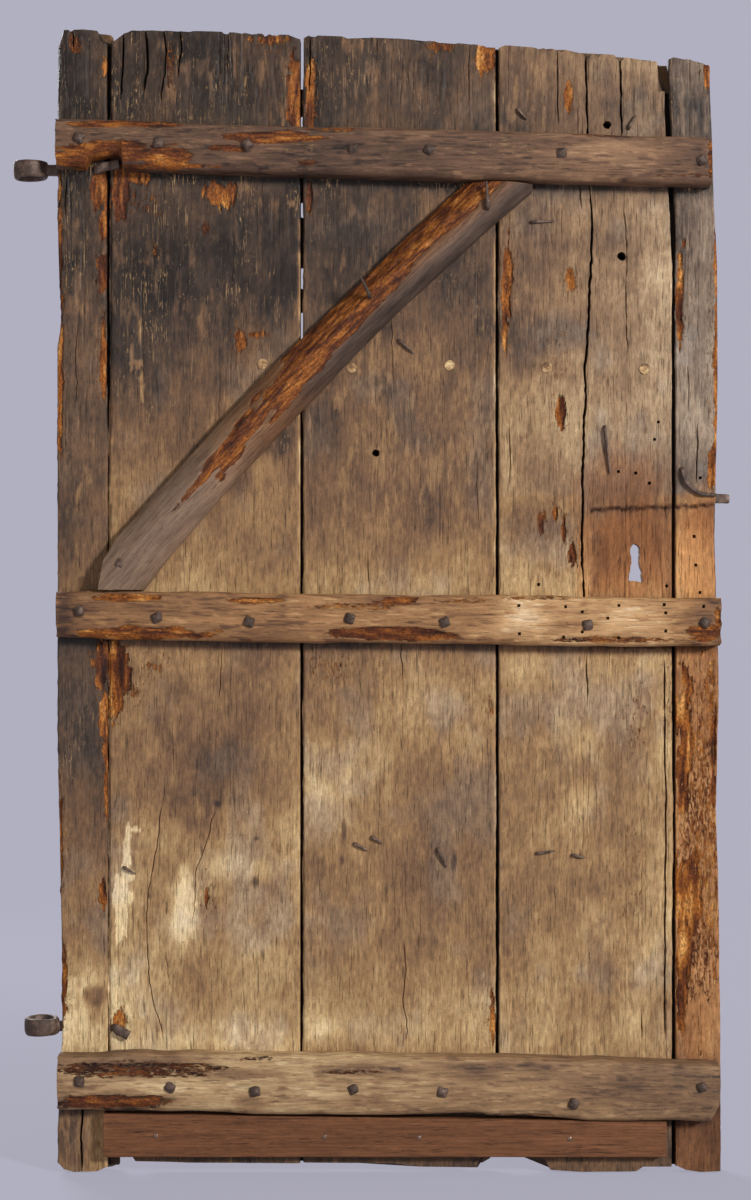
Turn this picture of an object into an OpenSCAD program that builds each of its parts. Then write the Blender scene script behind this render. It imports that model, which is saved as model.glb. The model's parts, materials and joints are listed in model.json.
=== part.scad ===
// Old plank door leaf: five lapped uprights under a shallow arched crown, three ledges, a split-pole
// brace, a foot board, two forged hinge eyes, hand-made nails and wooden pegs.
// The ledged face looks along -Y, +X runs from the hinge edge to the lock edge and +Z is up.
// The origin is the centre of the lower hinge eye, and lengths are in millimetres.

/* [Leaf] */
// Height of the hanging stile from its foot to its crown
leaf_h = 1714; // [1690:1:1780]
// How much lower the arched crown is at the lock edge than at the hinge edge
crown_fall = 52; // [10:1:80]
// Thickness of the upright boards
board_t = 30; // [26:1:40]
// Worn bevel on the long edges of the uprights
edge_wear = 2; // [1:0.5:4]

/* [Uprights] */
// Width of the hanging stile
hanging_stile_w = 76; // [66:1:100]
// Width of the board beside the hanging stile
hinge_board_w = 286; // [250:1:330]
// Width of the middle board
middle_board_w = 288; // [250:1:330]
// Width of the board that holds the keyhole
lock_board_w = 260; // [240:1:300]
// Width of the lock stile
lock_stile_w = 68; // [60:1:90]
// How much wider the lock stile grows towards its crown
stile_lean_w = 11; // [4:1:14]
// Height of the part of the lock stile that widens
stile_lean_h = 250; // [200:10:400]
// Shrinkage gap beside the hanging stile
stile_gap = 3; // [2:0.5:6]
// Shrinkage gap at the other three joints
board_gap = 5; // [3:0.5:8]
// How far a rear lip reaches past its own board
lap_w = 16; // [12:1:22]
// Gap between the two halves of a lapped joint
lap_play = 1; // [0.4:0.2:2]

/* [Ledges] */
// Thickness of the three ledges
ledge_t = 38; // [30:1:48]
// Bevel along the front edges of the ledges
ledge_bevel = 10; // [5:1:14]
// Width of the top ledge
top_ledge_w = 76; // [68:1:90]
// Distance from the crown down to the top ledge's centre line, at the hinge edge
top_ledge_drop = 177; // [164:1:199]
// How far the top ledge falls towards the lock edge
top_ledge_fall = 27; // [0:1:40]
// Width of the middle ledge
middle_ledge_w = 76; // [66:1:90]
// Height of the middle ledge's centre line above the foot, at the hinge edge
middle_ledge_z = 836; // [780:1:880]
// How far the middle ledge falls towards the lock edge
middle_ledge_fall = 12; // [0:1:30]
// Width of the bottom ledge
bottom_ledge_w = 94; // [84:1:100]
// Height of the bottom ledge's centre line above the foot, at the hinge edge
bottom_ledge_z = 141; // [130:1:146]
// How far the bottom ledge falls towards the lock edge
bottom_ledge_fall = 14; // [0:1:20]

/* [Brace] */
// Width of the brace at its middle
brace_w = 76; // [64:1:88]
// Thickness of the brace at its ridge
brace_t = 42; // [30:1:50]
// Distance from the hinge edge to the middle of the brace's foot
brace_foot_x = 78; // [70:1:120]
// Distance from the hinge edge to the middle of the brace's head
brace_head_x = 669; // [620:1:690]
// Height of the brace's natural bow over its chord
brace_bow = 17; // [6:1:30]

/* [Foot board] */
// Thickness of the foot board
foot_board_t = 22; // [16:1:30]
// Height of the foot board's lower edge above the foot
foot_board_z = 27; // [18:1:34]
// Gap between the foot board and the bottom ledge
foot_board_gap = 1; // [0.5:0.5:3]

/* [Hinge eyes] */
// Radius of the bore that turns on the wall pin
eye_bore_r = 16; // [13:0.1:17]
// Outer radius of the ring
eye_ring_r = 26.5; // [23:0.5:29]
// Height of the ring along its bore
eye_ring_h = 26; // [20:1:30]
// Distance from the lower bore to the hinge edge of the leaf
eye_reach = 24; // [20:1:29]
// Height of the lower eye above the bottom ledge's upper edge
lower_eye_lift = 29; // [26:1:60]
// Height of the upper eye above the top ledge's lower edge
upper_eye_lift = 6; // [0:1:9]
// How far the hinge line leans away from the leaf at the top, in degrees
hinge_lean = 0.75; // [0:0.05:1]
// Height of the square shank
shank_h = 16; // [12:1:18]
// Thickness of the square shank
shank_t = 11; // [9:1:13]
// Length of the lower point that is bent over on the face
lower_clench_len = 30; // [22:1:40]
// Length of the upper point that is bent over on the face
upper_clench_len = 42; // [30:1:50]
// Distance from the hinge edge to where the upper shank comes out on the face
upper_riser = 54; // [46:1:60]
// Clearance of the shank in the wood
shank_play = 0.3; // [0.1:0.1:0.6]

/* [Nails and pegs] */
// Width of a forged nail's square shank
nail_w = 6; // [4:0.5:8]
// Width of a forged nail's four-sided head
nail_head_w = 17; // [13:1:20]
// Height of a forged nail's head
nail_head_h = 6; // [4:0.5:8]
// Clearance of a nail in the wood
nail_play = 0.1; // [0.05:0.05:0.3]
// Radius of a wooden peg
peg_r = 9; // [7:0.5:11]

/* [Lock side] */
// Width of the keyhole at its foot
keyhole_w = 21; // [16:1:26]
// Height of the keyhole
keyhole_h = 54; // [44:1:62]
// Depth of the recess that the lost lock case left
recess_d = 4; // [2:0.5:6]
// Height of the recess above the middle ledge
recess_h = 139; // [120:1:160]
// Width of the recess in the lock board
recess_w = 124; // [110:1:140]
// Length of the latch bar that stands out of the lock edge
bar_reach = 15; // [8:1:25]
// Height of the latch bar
bar_h = 15; // [10:1:18]
// Thickness of the latch bar
bar_t = 12; // [8:1:14]

/* [Hidden] */
$fn = 64;
eps = 0.01;

// Uprights in order from the hinge edge, with the gap that follows each
widths = [hanging_stile_w, hinge_board_w, middle_board_w, lock_board_w, lock_stile_w];
gaps = [stile_gap, board_gap, board_gap, board_gap];
last = len(widths) - 1;
hinge_x = eye_reach;
function upright_x(i) = i < 1 ? hinge_x : upright_x(i - 1) + widths[i - 1] + gaps[i - 1];
lock_x = upright_x(last) + lock_stile_w;
leaf_w = lock_x - hinge_x;
eye_height = bottom_ledge_z + bottom_ledge_w / 2 + lower_eye_lift;
foot_z = -eye_height;
top_z = foot_z + leaf_h;
face_y = -board_t / 2;
rear_y = board_t / 2;
function across(i, share) = upright_x(i) + share * widths[i];

// The crown is one wide arc with its highest point at the hinge edge
crown_r = (leaf_w * leaf_w + crown_fall * crown_fall) / (2 * crown_fall);
function crown_z(x) = top_z - crown_r + sqrt(crown_r * crown_r - pow(x - hinge_x, 2));

// Broken crown of each upright: share of its width, depth lost
crown_loss = [
    [[0.1, 1], [0.5, 0], [0.8, 2], [0.88, 14], [1, 17]],
    [[0, 18], [0.03, 15], [0.06, 5], [0.1, 1], [0.35, 0], [0.6, 1], [0.97, 2], [1, 6]],
    [[0, 6], [0.03, 1], [0.5, 0], [0.9, 2], [1, 4]],
    [[0, 4], [0.04, 0], [0.4, 0], [0.49, 4], [0.52, 12], [0.55, 2], [0.7, 1], [0.73, 12], [0.77, 3], [1, 5]],
    [[0, 0], [0.1, -4], [0.7, -3], [0.85, 3]]
];
// Rotted foot of each upright: share of its width, height lost
foot_loss = [
    [[0.15, 4], [0.35, 0], [0.8, 1], [1, 8]],
    [[0, 38], [0.1, 36], [0.14, 16], [0.5, 14], [1, 13]],
    [[0, 14], [0.45, 13], [0.6, 8], [0.9, 7], [0.92, 26], [1, 28]],
    [[0, 28], [0.25, 27], [0.3, 3], [0.5, 0], [0.78, 1], [0.82, 8], [1, 8]],
    [[0, 10], [0.2, 3], [0.5, 0], [0.9, 1]]
];
// Worn outer edge of the two stiles: share of the leaf's height, depth lost
eye_gap = 5;
eye_wear = eye_ring_r - eye_reach + eye_gap;
eye_share = eye_height / leaf_h;
hinge_edge_loss = [
    [0.01, 0], [0.045, 2], [eye_share - 0.02, eye_wear], [eye_share + 0.05, eye_wear],
    [0.28, 4], [0.4, 1], [0.73, 0], [0.755, 7], [0.79, 3], [0.85, 0], [0.98, 1]
];
lock_edge_loss = [
    [0.01, 0], [0.15, 1], [0.24, 3], [0.32, 7], [0.43, 3], [0.56, 9], [0.7, 4],
    [0.8, 5], [0.84, 9], [0.9, 12], [0.96, 16]
];
// Stretches of the hinge board's rear lip that have broken away: depth below the crown, length
lip_breaks = [[-5, 83], [111, 40], [243, 28], [343, 37], [409, 47]];

// Ledges from the top: centre height at the hinge edge, width, fall, inset at the hinge and lock edges
ledges = [
    [leaf_h - top_ledge_drop, top_ledge_w, top_ledge_fall, 1, 17],
    [middle_ledge_z, middle_ledge_w, middle_ledge_fall, 2, 3],
    [bottom_ledge_z, bottom_ledge_w, bottom_ledge_fall, 4, 5]
];
function ledge_slope(k) = ledges[k][2] / leaf_w;
function ledge_mid(k, x) = foot_z + ledges[k][0] - ledge_slope(k) * (x - hinge_x);
function ledge_top(k, x) = ledge_mid(k, x) + ledges[k][1] / 2;
function ledge_foot(k, x) = ledge_mid(k, x) - ledges[k][1] / 2;
function ledge_x(k, share) =
    hinge_x + ledges[k][3] + share * (leaf_w - ledges[k][3] - ledges[k][4]);
// Waney upper and lower edges of each ledge: share of its length, depth lost
upper_loss = [
    [[0, 1], [0.1, 0], [0.35, 3], [0.5, 0], [0.75, 1], [0.9, 3], [1, 2]],
    [[0, 2], [0.2, 0], [0.45, 2], [0.7, 0], [1, 1]],
    [[0, 7], [0.06, 6], [0.09, 2], [0.3, 0], [0.7, 0], [0.9, 3], [1, 6]]
];
lower_loss = [
    [[0, 3], [0.16, 2], [0.3, 1], [0.6, 0], [0.8, 1], [1, 2]],
    [[0, 3], [0.12, 1], [0.35, 0], [0.6, 1], [0.8, 0], [1, 2]],
    [[0, 4], [0.25, 5], [0.3, 2], [0.5, 3], [0.6, 6], [0.75, 4], [0.8, 0], [0.985, 0], [1, 24]]
];

// Brace axis, from the top of the middle ledge to the underside of the top ledge
brace_foot = [hinge_x + brace_foot_x, ledge_top(1, hinge_x + brace_foot_x)];
brace_head = [hinge_x + brace_head_x, ledge_foot(0, hinge_x + brace_head_x)];
brace_run = brace_head - brace_foot;
brace_angle = atan2(brace_run[1], brace_run[0]);
brace_len = norm(brace_run);
brace_normal = [-sin(brace_angle), cos(brace_angle)];
brace_r = (brace_len * brace_len / 4 + brace_bow * brace_bow) / (2 * brace_bow);
function brace_rise(share) = 4 * brace_bow * share * (1 - share);
function along_brace(share, off) =
    brace_foot + share * brace_run + (brace_rise(share) + off) * brace_normal;
// Outline of the brace, flared at its foot: share of its length, reach to each side as a share of its width
brace_edge = [
    [-0.1, 0.6], [0.04, 0.56], [0.13, 0.51], [0.3, 0.5], [0.5, 0.5], [0.7, 0.47], [0.85, 0.49], [1.1, 0.5]
];

// Nails of the ledges: upright, share of its width, height off the ledge's centre line
ledge_nails = [
    [[0, 0.5, 8], [1, 0.27, 4], [1, 0.73, 4], [2, 0.26, 3], [2, 0.65, 4], [3, 0.35, 5], [4, 0.5, 0]],
    [[0, 0.5, 6], [1, 0.26, -2], [1, 0.74, -7], [2, 0.24, 0], [2, 0.73, -4], [3, 0.5, -6], [4, 0.56, 0]],
    [[0, 0.5, 3], [1, 0.33, -4], [1, 0.77, -8], [2, 0.26, -3], [2, 0.72, -5], [3, 0.42, -20], [4, 0.5, 8]]
];
function ledge_nail(k, n) =
    let (p = ledge_nails[k][n], x = across(p[0], p[1])) [x, ledge_mid(k, x) + p[2], p[0]];
// Nails of the brace: share of its length, distance from its bowed axis, bent length, bent turn
brace_nails = [[0.05, 8, 0, 0], [0.69, 8, 36, 121], [0.945, -14, 42, 88]];
// Nails of the foot board: upright and share of its width
foot_board_nails = [[1, 0.25], [2, 0.11], [2, 0.6], [3, 0.4]];
foot_board_nail_w = 4;
foot_board_nail_head_r = 4;
foot_board_nail_head_h = 1.2;
// Nails driven from the rear and clenched on the face: upright, share of its width, nearest ledge,
// height off that ledge's centre line, length, turn, width
clenched = [
    [3, 0.61, 1, 288, 72, -83, 8], [2, 0.27, 1, -338, 24, -30, 5], [2, 0.36, 1, -328, 20, -32, 5],
    [2, 0.7, 1, -346, 32, -62, 5], [3, 0.225, 1, -349, 29, 8, 5], [3, 0.43, 1, -351, 20, -14, 5],
    [3, 0.19, 0, -93, 38, 2, 5], [3, 0.11, 0, 74, 22, -46, 5], [1, 0.08, 1, -378, 22, -30, 5],
    [2, 0.5, 0, -276, 32, -42, 5], [3, 0.75, 0, 53, 24, 60, 5]
];
clench_nail_t = 4;
clench_nail_head_w = 13;
clench_nail_head_h = 4;
function off_ledge(p) = let (x = across(p[0], p[1])) [x, ledge_mid(p[2], x) + p[3], p[0]];
// Pegs: upright, share of its width, nearest ledge, height off its centre line
pegs = [[1, 0.8, 1, 380], [2, 0.25, 1, 376], [2, 0.76, 1, 381], [3, 0.28, 1, 379], [3, 0.84, 1, 379]];
// Plain round holes: upright, share of its width, nearest ledge, height off its centre line, radius
holes = [[3, 0.71, 1, 548, 6.5], [2, 0.378, 1, 248, 5.5], [3, 0.625, 0, 56, 6]];
hole_d = 24;
// Empty square nail holes of the lost lock: upright, share of its width, nearest ledge, height off it
old_holes = [
    [3, 0.69, 1, 225], [3, 0.79, 1, 223], [3, 0.87, 1, 208], [3, 0.92, 1, 300], [3, 0.9, 1, 274],
    [3, 0.97, 1, 54], [3, 0.23, 1, 54], [4, 0.42, 1, 129], [4, 0.46, 1, 86], [4, 0.55, 1, 45],
    [4, 0.2, 1, 71], [4, 0.55, 1, 217]
];
// Empty square nail holes in the middle ledge: share of its length, height off its centre line
ledge_holes = [
    [0.695, 22], [0.765, 21], [0.79, 14], [0.845, 24], [0.828, 5], [0.913, 26], [0.915, 14], [0.972, 24],
    [0.696, -20], [0.762, -24], [0.79, -16], [0.845, -24], [0.915, -13]
];
old_hole_w = 4.5;
old_hole_d = 16;

// Keyhole and the recess of the lost lock case, in the lock board
keyhole_x = across(3, 0.79);
recess_x = lock_x - lock_stile_w - board_gap - recess_w;
keyhole_lift = 24;
keyhole_z = ledge_top(1, keyhole_x) + keyhole_lift;
recess_top = ledge_top(1, lock_x) + recess_h;
recess_slant = 8;
// Splits of the lock board: share of its width and depth below the crown along each one
splits = [
    [[0.525, -20], [0.53, 80], [0.54, 200], [0.525, 330], [0.51, 420], [0.49, 520], [0.48, 640],
     [0.485, 820]],
    [[0.735, -20], [0.735, 20], [0.74, 80]]
];
split_w = 3;

// Bars that pass through the uprights' edges
bar_lift = 2;
bar_z = recess_top + bar_h / 2 + bar_lift;
bar_seat = 42;
spike_w = 6;
spike_t = 6;
spike_root = 12;
// Bent spike from its root: share of the lock stile's width, height over the latch bar's middle
spike_path = [[0.14, 44], [0.5, 8], [0.88, 5]];
function spike_at(n) = [across(last, spike_path[n][0]), bar_z + spike_path[n][1]];
spike_start = spike_at(0);
spike_bend = spike_at(1);
spike_end = spike_at(2);

// Hinge eyes: centre of each bore on the leaning hinge line
eye_rise = ledge_foot(0, hinge_x) + upper_eye_lift;
function eye_at(upper) = upper ? [-eye_rise * tan(hinge_lean), 0, eye_rise] : [0, 0, 0];
// The lower shank comes out at the joint and the upper one through the hanging stile
function riser_x(upper) = upper ? hinge_x + upper_riser : upright_x(1) + edge_wear;
function clench_len(upper) = upper ? upper_clench_len : lower_clench_len;
clench_t = 9;
clench_drop = 3;
upper_clench_turn = 15;
lower_clench_turn = -18;
ring_round = 8;
shank_root = 3;
bite = 6;
// Turn of the first nail's clenched point on the rear of a ledge row, and the step to the next one
point_turn = 75;
point_step = 12;

// A flat outline drawn in x and z, with its thickness centred on the boards
module slab(points, thickness) {
    rotate([90, 0, 0]) linear_extrude(height = thickness, center = true) polygon(points);
}

// A flat outline drawn in x and z that stands on the face of the boards
module on_face(points, thickness) {
    translate([0, face_y - thickness / 2, 0]) slab(points, thickness);
}

// Outline of an upright: broken crown, worn edges and rotted foot
module upright_outline(i) {
    x0 = upright_x(i);
    w = widths[i];
    past = 2 * lap_w;
    crown = [for (p = crown_loss[i]) [x0 + p[0] * w, crown_z(x0 + p[0] * w) - p[1]]];
    foot = [for (p = foot_loss[i]) [x0 + p[0] * w, foot_z + p[1]]];
    left_edge = i == 0
        ? [for (p = hinge_edge_loss) [x0 + p[1], foot_z + p[0] * leaf_h]]
        : [[x0 - past, foot[0][1]], [x0 - past, crown[0][1]]];
    right_edge = i == last
        ? [for (p = lock_edge_loss) [x0 + w - p[1], foot_z + p[0] * leaf_h]]
        : [[x0 + w + past, foot[len(foot) - 1][1]], [x0 + w + past, crown[len(crown) - 1][1]]];
    slab(concat(
        foot,
        right_edge,
        [for (n = [len(crown) - 1 : -1 : 0]) crown[n]],
        [for (n = [len(left_edge) - 1 : -1 : 0]) left_edge[n]]
    ), 2 * board_t);
}

// Section of an upright seen from above, with a rear lip at its lock side and a rebate at its hinge side
module upright_section(i) {
    w = widths[i];
    half_play = lap_play / 2;
    hinge_side = i == 0
        ? [[0, rear_y], [0, face_y + edge_wear]]
        : [[lap_w, rear_y], [lap_w, -half_play], [0, -half_play], [0, face_y + edge_wear]];
    lock_side = i == last
        ? [[w, face_y + edge_wear], [w, rear_y]]
        : [[w, face_y + edge_wear], [w, half_play], [w + lap_w, half_play], [w + lap_w, rear_y]];
    polygon(concat(hinge_side, [[edge_wear, face_y], [w - edge_wear, face_y]], lock_side));
}

// Every square nail shank that passes through one upright
module nail_bores(i) {
    for (k = [0 : 2], n = [0 : len(ledge_nails[k]) - 1])
        if (ledge_nail(k, n)[2] == i) square_bore(ledge_nail(k, n), nail_w + 2 * nail_play);
    for (p = brace_nails) square_bore(along_brace(p[0], p[1]), nail_w + 2 * nail_play);
    for (p = foot_board_nails)
        if (p[0] == i) square_bore(foot_board_nail(p), foot_board_nail_w + 2 * nail_play);
    for (p = clenched)
        if (p[0] == i) square_bore(off_ledge(p), p[6] + 2 * nail_play);
    if (i == last) spike_shank(nail_play);
}

module square_bore(at, w) {
    translate([at[0], 0, at[1]]) cube([w, 4 * (board_t + ledge_t), w], center = true);
}

// An empty nail hole that ends inside the wood, cut from a face at depth y
module old_hole(at, y) {
    translate([at[0] - old_hole_w / 2, y - eps, at[1] - old_hole_w / 2])
        cube([old_hole_w, old_hole_d, old_hole_w]);
}

module round_bore(x, z, r) {
    translate([x, 0, z]) rotate([90, 0, 0]) cylinder(h = 2 * board_t, r = r, center = true);
}

// A round hole that ends inside the wood, cut from the face
module round_hole(at, r) {
    translate([at[0], face_y - eps, at[1]]) rotate([-90, 0, 0]) cylinder(h = hole_d, r = r);
}

// Wedge between the faces of the lock board and the lock stile, moved towards the hinges by a gap
module stile_wedge(gap, back) {
    x = upright_x(last) - gap;
    low = crown_z(x) - stile_lean_h;
    top = top_z + board_t;
    translate([0, (face_y + back) / 2, 0])
        slab([[x, low], [x + board_gap, low], [x + board_gap, top], [x - stile_lean_w, top],
              [x - stile_lean_w, crown_z(x)]], back - face_y);
}

module upright(i) {
    difference() {
        intersection() {
            upright_outline(i);
            union() {
                translate([upright_x(i), 0, foot_z - eps]) linear_extrude(height = leaf_h + 2 * board_t)
                    upright_section(i);
                if (i == last) stile_wedge(0, -lap_play / 2);
            }
        }
        if (i == last - 1) stile_wedge(board_gap, lap_play / 2);
        nail_bores(i);
        for (p = pegs)
            if (p[0] == i) round_bore(off_ledge(p)[0], off_ledge(p)[1], peg_r + nail_play);
        for (p = holes)
            if (p[0] == i) round_hole(off_ledge(p), p[4]);
        for (p = old_holes)
            if (p[0] == i) old_hole(off_ledge(p), face_y);
    }
}

// Seat of a hinge eye: the shank's mortise through the hanging stile and its way out of the joint
module eye_seats() {
    for (upper = [false, true]) eye_shank(upper, shank_play);
}

module hanging_stile() {
    color("#5f4d41") difference() {
        upright(0);
        eye_seats();
    }
}

module hinge_board() {
    color("#7e6650") difference() {
        upright(1);
        eye_seats();
        for (p = lip_breaks)
            translate([upright_x(1) + hinge_board_w, 0, top_z - p[0] - p[1]])
                cube([2 * lap_w, board_t, p[1]]);
    }
}

module middle_board() {
    color("#8b6e54") upright(2);
}

// Keyhole: a round head for the key's pipe over a slot that widens to its foot
module keyhole() {
    head = 0.36 * keyhole_w;
    waist = 0.3 * keyhole_w;
    foot = 0.5 * keyhole_w;
    translate([keyhole_x, 0, keyhole_z]) {
        slab([[-foot, 0], [foot, -0.06 * keyhole_h], [foot, 0.2 * keyhole_h],
              [waist, 0.55 * keyhole_h], [head, keyhole_h - head],
              [-head, keyhole_h - head], [-waist, 0.5 * keyhole_h]], 2 * board_t);
        round_bore(0, keyhole_h - head, head);
    }
}

// Shallow recess that the lost lock case left in the lock board and the lock stile
module lock_recess() {
    past = lock_x + lap_w;
    translate([0, face_y, 0])
        slab([[recess_x, ledge_top(1, recess_x)], [past, ledge_top(1, past)],
              [past, recess_top], [recess_x, recess_top - recess_slant]], 2 * recess_d);
}

// A split is a narrow strip that follows its points through the board
module split_cut(points) {
    x0 = upright_x(3);
    path = [for (p = points) [x0 + p[0] * lock_board_w, crown_z(x0) - p[1]]];
    slab(concat(
        [for (p = path) p - [split_w / 2, 0]],
        [for (n = [len(path) - 1 : -1 : 0]) path[n] + [split_w / 2, 0]]
    ), 2 * board_t);
}

module lock_board() {
    color("#987a5d") difference() {
        upright(3);
        keyhole();
        lock_recess();
        for (points = splits) split_cut(points);
    }
}

module lock_stile() {
    color("#856350") difference() {
        upright(last);
        lock_recess();
        bar_block(shank_play);
    }
}

// Outline of a ledge between its waney edges
function ledge_outline(k) = concat(
    [for (p = lower_loss[k]) let (x = ledge_x(k, p[0])) [x, ledge_foot(k, x) + p[1]]],
    [for (n = [len(upper_loss[k]) - 1 : -1 : 0])
        let (p = upper_loss[k][n], x = ledge_x(k, p[0])) [x, ledge_top(k, x) - p[1]]]
);

// Section of a ledge: flat back, bevelled front edges
module ledge_section(w) {
    polygon([[0, -w / 2], [0, w / 2], [ledge_t - ledge_bevel, w / 2], [ledge_t, w / 2 - ledge_bevel],
             [ledge_t, ledge_bevel - w / 2], [ledge_t - 0.8 * ledge_bevel, -w / 2]]);
}

module ledge(k) {
    difference() {
        intersection() {
            on_face(ledge_outline(k), ledge_t);
            translate([hinge_x, face_y, ledge_mid(k, hinge_x)])
                rotate([0, atan(ledge_slope(k)), 0])
                    rotate([0, 0, -90]) rotate([90, 0, 0])
                        linear_extrude(height = 4 * leaf_w, center = true) ledge_section(ledges[k][1]);
        }
        for (n = [0 : len(ledge_nails[k]) - 1]) square_bore(ledge_nail(k, n), nail_w + 2 * nail_play);
    }
}

module top_ledge() {
    color("#6a4f3d") difference() {
        ledge(0);
        eye_notch();
    }
}

// Torn bite in the top ledge's lower edge, where the upper eye's bent point lies
module eye_notch() {
    left = riser_x(true) - bite;
    right = riser_x(true) + upper_clench_len + bite / 2;
    low = ledge_foot(0, hinge_x) - ledge_bevel;
    heel = eye_rise + shank_h / 2 + bite / 6;
    crest = eye_rise - clench_drop + shank_h / 2 + upper_clench_len * tan(upper_clench_turn);
    slab([[left - bite / 2, low], [right + bite / 2, low], [right, crest - bite / 2], [right - bite, crest],
          [left + bite, heel], [left, heel - bite]], 4 * (board_t + ledge_t));
}

module middle_ledge() {
    color("#8a6143") difference() {
        ledge(1);
        for (p = ledge_holes)
            old_hole([ledge_x(1, p[0]), ledge_mid(1, ledge_x(1, p[0])) + p[1]], face_y - ledge_t);
    }
}

module bottom_ledge() {
    color("#8f7050") ledge(2);
}

// Section of the brace: a split pole with a blunt ridge, drawn across its width and up from the boards
brace_section = [
    [-0.62, 0], [0.62, 0], [0.6, 0.3], [0.42, 0.5], [0.16, 0.92], [0, 1], [-0.14, 0.95],
    [-0.4, 0.55], [-0.6, 0.34]
];
brace_seat = 0.88;
// Trims at the brace's ends, as shares of its width from the middle of its foot and head, and the foot's lean
brace_foot_trim = 0.16;
brace_head_trim = 0.57;
brace_foot_lean = 8;

// Bowed pole turned about the far centre of its bow
module brace_pole() {
    sweep = 1.2 * 2 * asin(brace_len / 2 / brace_r);
    centre = (brace_foot + brace_head) / 2 - (brace_r - brace_bow) * brace_normal;
    translate([centre[0], face_y, centre[1]]) rotate([90, 0, 0]) rotate([0, 0, brace_angle + 90 - sweep / 2])
        rotate_extrude(angle = sweep)
            polygon([for (p = brace_section) [brace_r + p[0] * brace_w, p[1] * brace_t]]);
}

module brace() {
    foot_left = brace_foot[0] - brace_foot_trim * brace_w;
    head_left = foot_left + (brace_head[1] - brace_foot[1]) * tan(brace_foot_lean);
    head_right = brace_head[0] + brace_head_trim * brace_w;
    seat_w = nail_head_w + 2 * nail_play;
    color("#7c5a43") difference() {
        intersection() {
            brace_pole();
            on_face(concat(
                [for (p = brace_edge) along_brace(p[0], -p[1] * brace_w)],
                [for (n = [len(brace_edge) - 1 : -1 : 0])
                    along_brace(brace_edge[n][0], brace_edge[n][1] * brace_w)]
            ), 2 * brace_t);
            on_face([[foot_left, ledge_top(1, foot_left)], [head_right, ledge_top(1, head_right)],
                     [head_right, ledge_foot(0, head_right)], [head_left, ledge_foot(0, head_left)]],
                    2 * brace_t);
        }
        for (p = brace_nails) {
            at = along_brace(p[0], p[1]);
            square_bore(at, nail_w + 2 * nail_play);
            translate([at[0], face_y - (brace_seat + 1) * brace_t, at[1]])
                cube([seat_w, 2 * brace_t, seat_w], center = true);
        }
    }
}

// Foot board: planed, with its upper edge cut to the fall of the bottom ledge
foot_board_lap = 5;
foot_board_short = 10;
foot_board_left = upright_x(1) - stile_gap - foot_board_lap;
foot_board_right = upright_x(last) - board_gap - foot_board_short;
function foot_board_top(x) = ledge_foot(2, x) - foot_board_gap;
function foot_board_nail(p) =
    let (x = across(p[0], p[1])) [x, (foot_board_top(x) + foot_z + foot_board_z) / 2];
module foot_board() {
    low = foot_z + foot_board_z;
    color("#734d34") difference() {
        on_face([[foot_board_left, low], [foot_board_right, low],
                 [foot_board_right, foot_board_top(foot_board_right)],
                 [foot_board_left, foot_board_top(foot_board_left)]], foot_board_t);
        for (p = foot_board_nails) square_bore(foot_board_nail(p), foot_board_nail_w + 2 * nail_play);
    }
}

// Ring of a hinge eye: a rounded section turned about the bore
module eye_ring() {
    h = eye_ring_h / 2;
    lip = ring_round / 4;
    steps = [0 : 30 : 90];
    rotate_extrude() polygon(concat(
        [for (a = steps) [eye_ring_r - ring_round * (1 - cos(a)), h - ring_round * (1 - sin(a))]],
        [[eye_bore_r + lip, h], [eye_bore_r, h - lip], [eye_bore_r, lip - h], [eye_bore_r + lip, -h]],
        [for (a = steps) [eye_ring_r - ring_round * (1 - sin(a)), ring_round * (1 - cos(a)) - h]]
    ));
}

// Shank of a hinge eye: from the ring through the stile and out of the joint, grown by some play
module eye_shank(upper, grow) {
    at = eye_at(upper);
    half = shank_t / 2 + grow;
    root = eye_bore_r + shank_root;
    flare = 0.62 * eye_ring_r;
    neck = hinge_x + eye_wear - at[0];
    end = riser_x(upper) - at[0];
    out = face_y - clench_t / 2;
    translate(at) linear_extrude(height = shank_h + 2 * grow, center = true)
        polygon([[root, flare], [neck, half], [end, half], [end + shank_t + grow, grow],
                 [end + shank_t + grow, out], [end - grow, out],
                 [end - grow, -half], [neck, -half], [root, -flare]]);
}

// Point of a hinge eye, bent over on the face of the boards
module eye_point(upper) {
    translate([riser_x(upper) + shank_t / 2, face_y - clench_t, eye_at(upper)[2] - clench_drop])
        rotate([0, upper ? -upper_clench_turn : -lower_clench_turn, 0])
            translate([-shank_t / 2, 0, -shank_h / 2]) cube([clench_len(upper), clench_t, 0.9 * shank_h]);
}

module hinge_eye(upper) {
    color("#54433a") {
        translate(eye_at(upper)) rotate([0, -hinge_lean, 0]) eye_ring();
        eye_shank(upper, 0);
        eye_point(upper);
    }
}

module upper_hinge_eye() {
    hinge_eye(true);
}

module lower_hinge_eye() {
    hinge_eye(false);
}

// Four-sided forged head that stands on a face and looks along -Y
module rose_head(w, h) {
    top = 0.3 * w;
    rim = 0.25 * h;
    profile = [[-w / 2, 0], [w / 2, 0], [w / 2, rim], [top / 2, h], [-top / 2, h], [-w / 2, rim]];
    intersection() {
        linear_extrude(height = 2 * w, center = true) polygon([for (p = profile) [p[0], -p[1]]]);
        rotate([90, 0, 90])
            linear_extrude(height = 2 * w, center = true) polygon([for (p = profile) [-p[1], p[0]]]);
    }
}

// Forged nail: head at depth y, shank through the wood and its point clenched on the rear
module forged_nail(at, y, turn) {
    point_l = 4 * nail_w;
    translate([at[0], 0, at[1]]) {
        translate([0, y, 0]) rose_head(nail_head_w, nail_head_h);
        translate([-nail_w / 2, y - eps, -nail_w / 2]) cube([nail_w, rear_y - y + nail_w / 2, nail_w]);
        translate([0, rear_y, 0]) rotate([0, turn, 0])
            translate([-nail_w / 2, 0, -nail_w / 2]) cube([point_l, nail_w / 2, nail_w]);
    }
}

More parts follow.
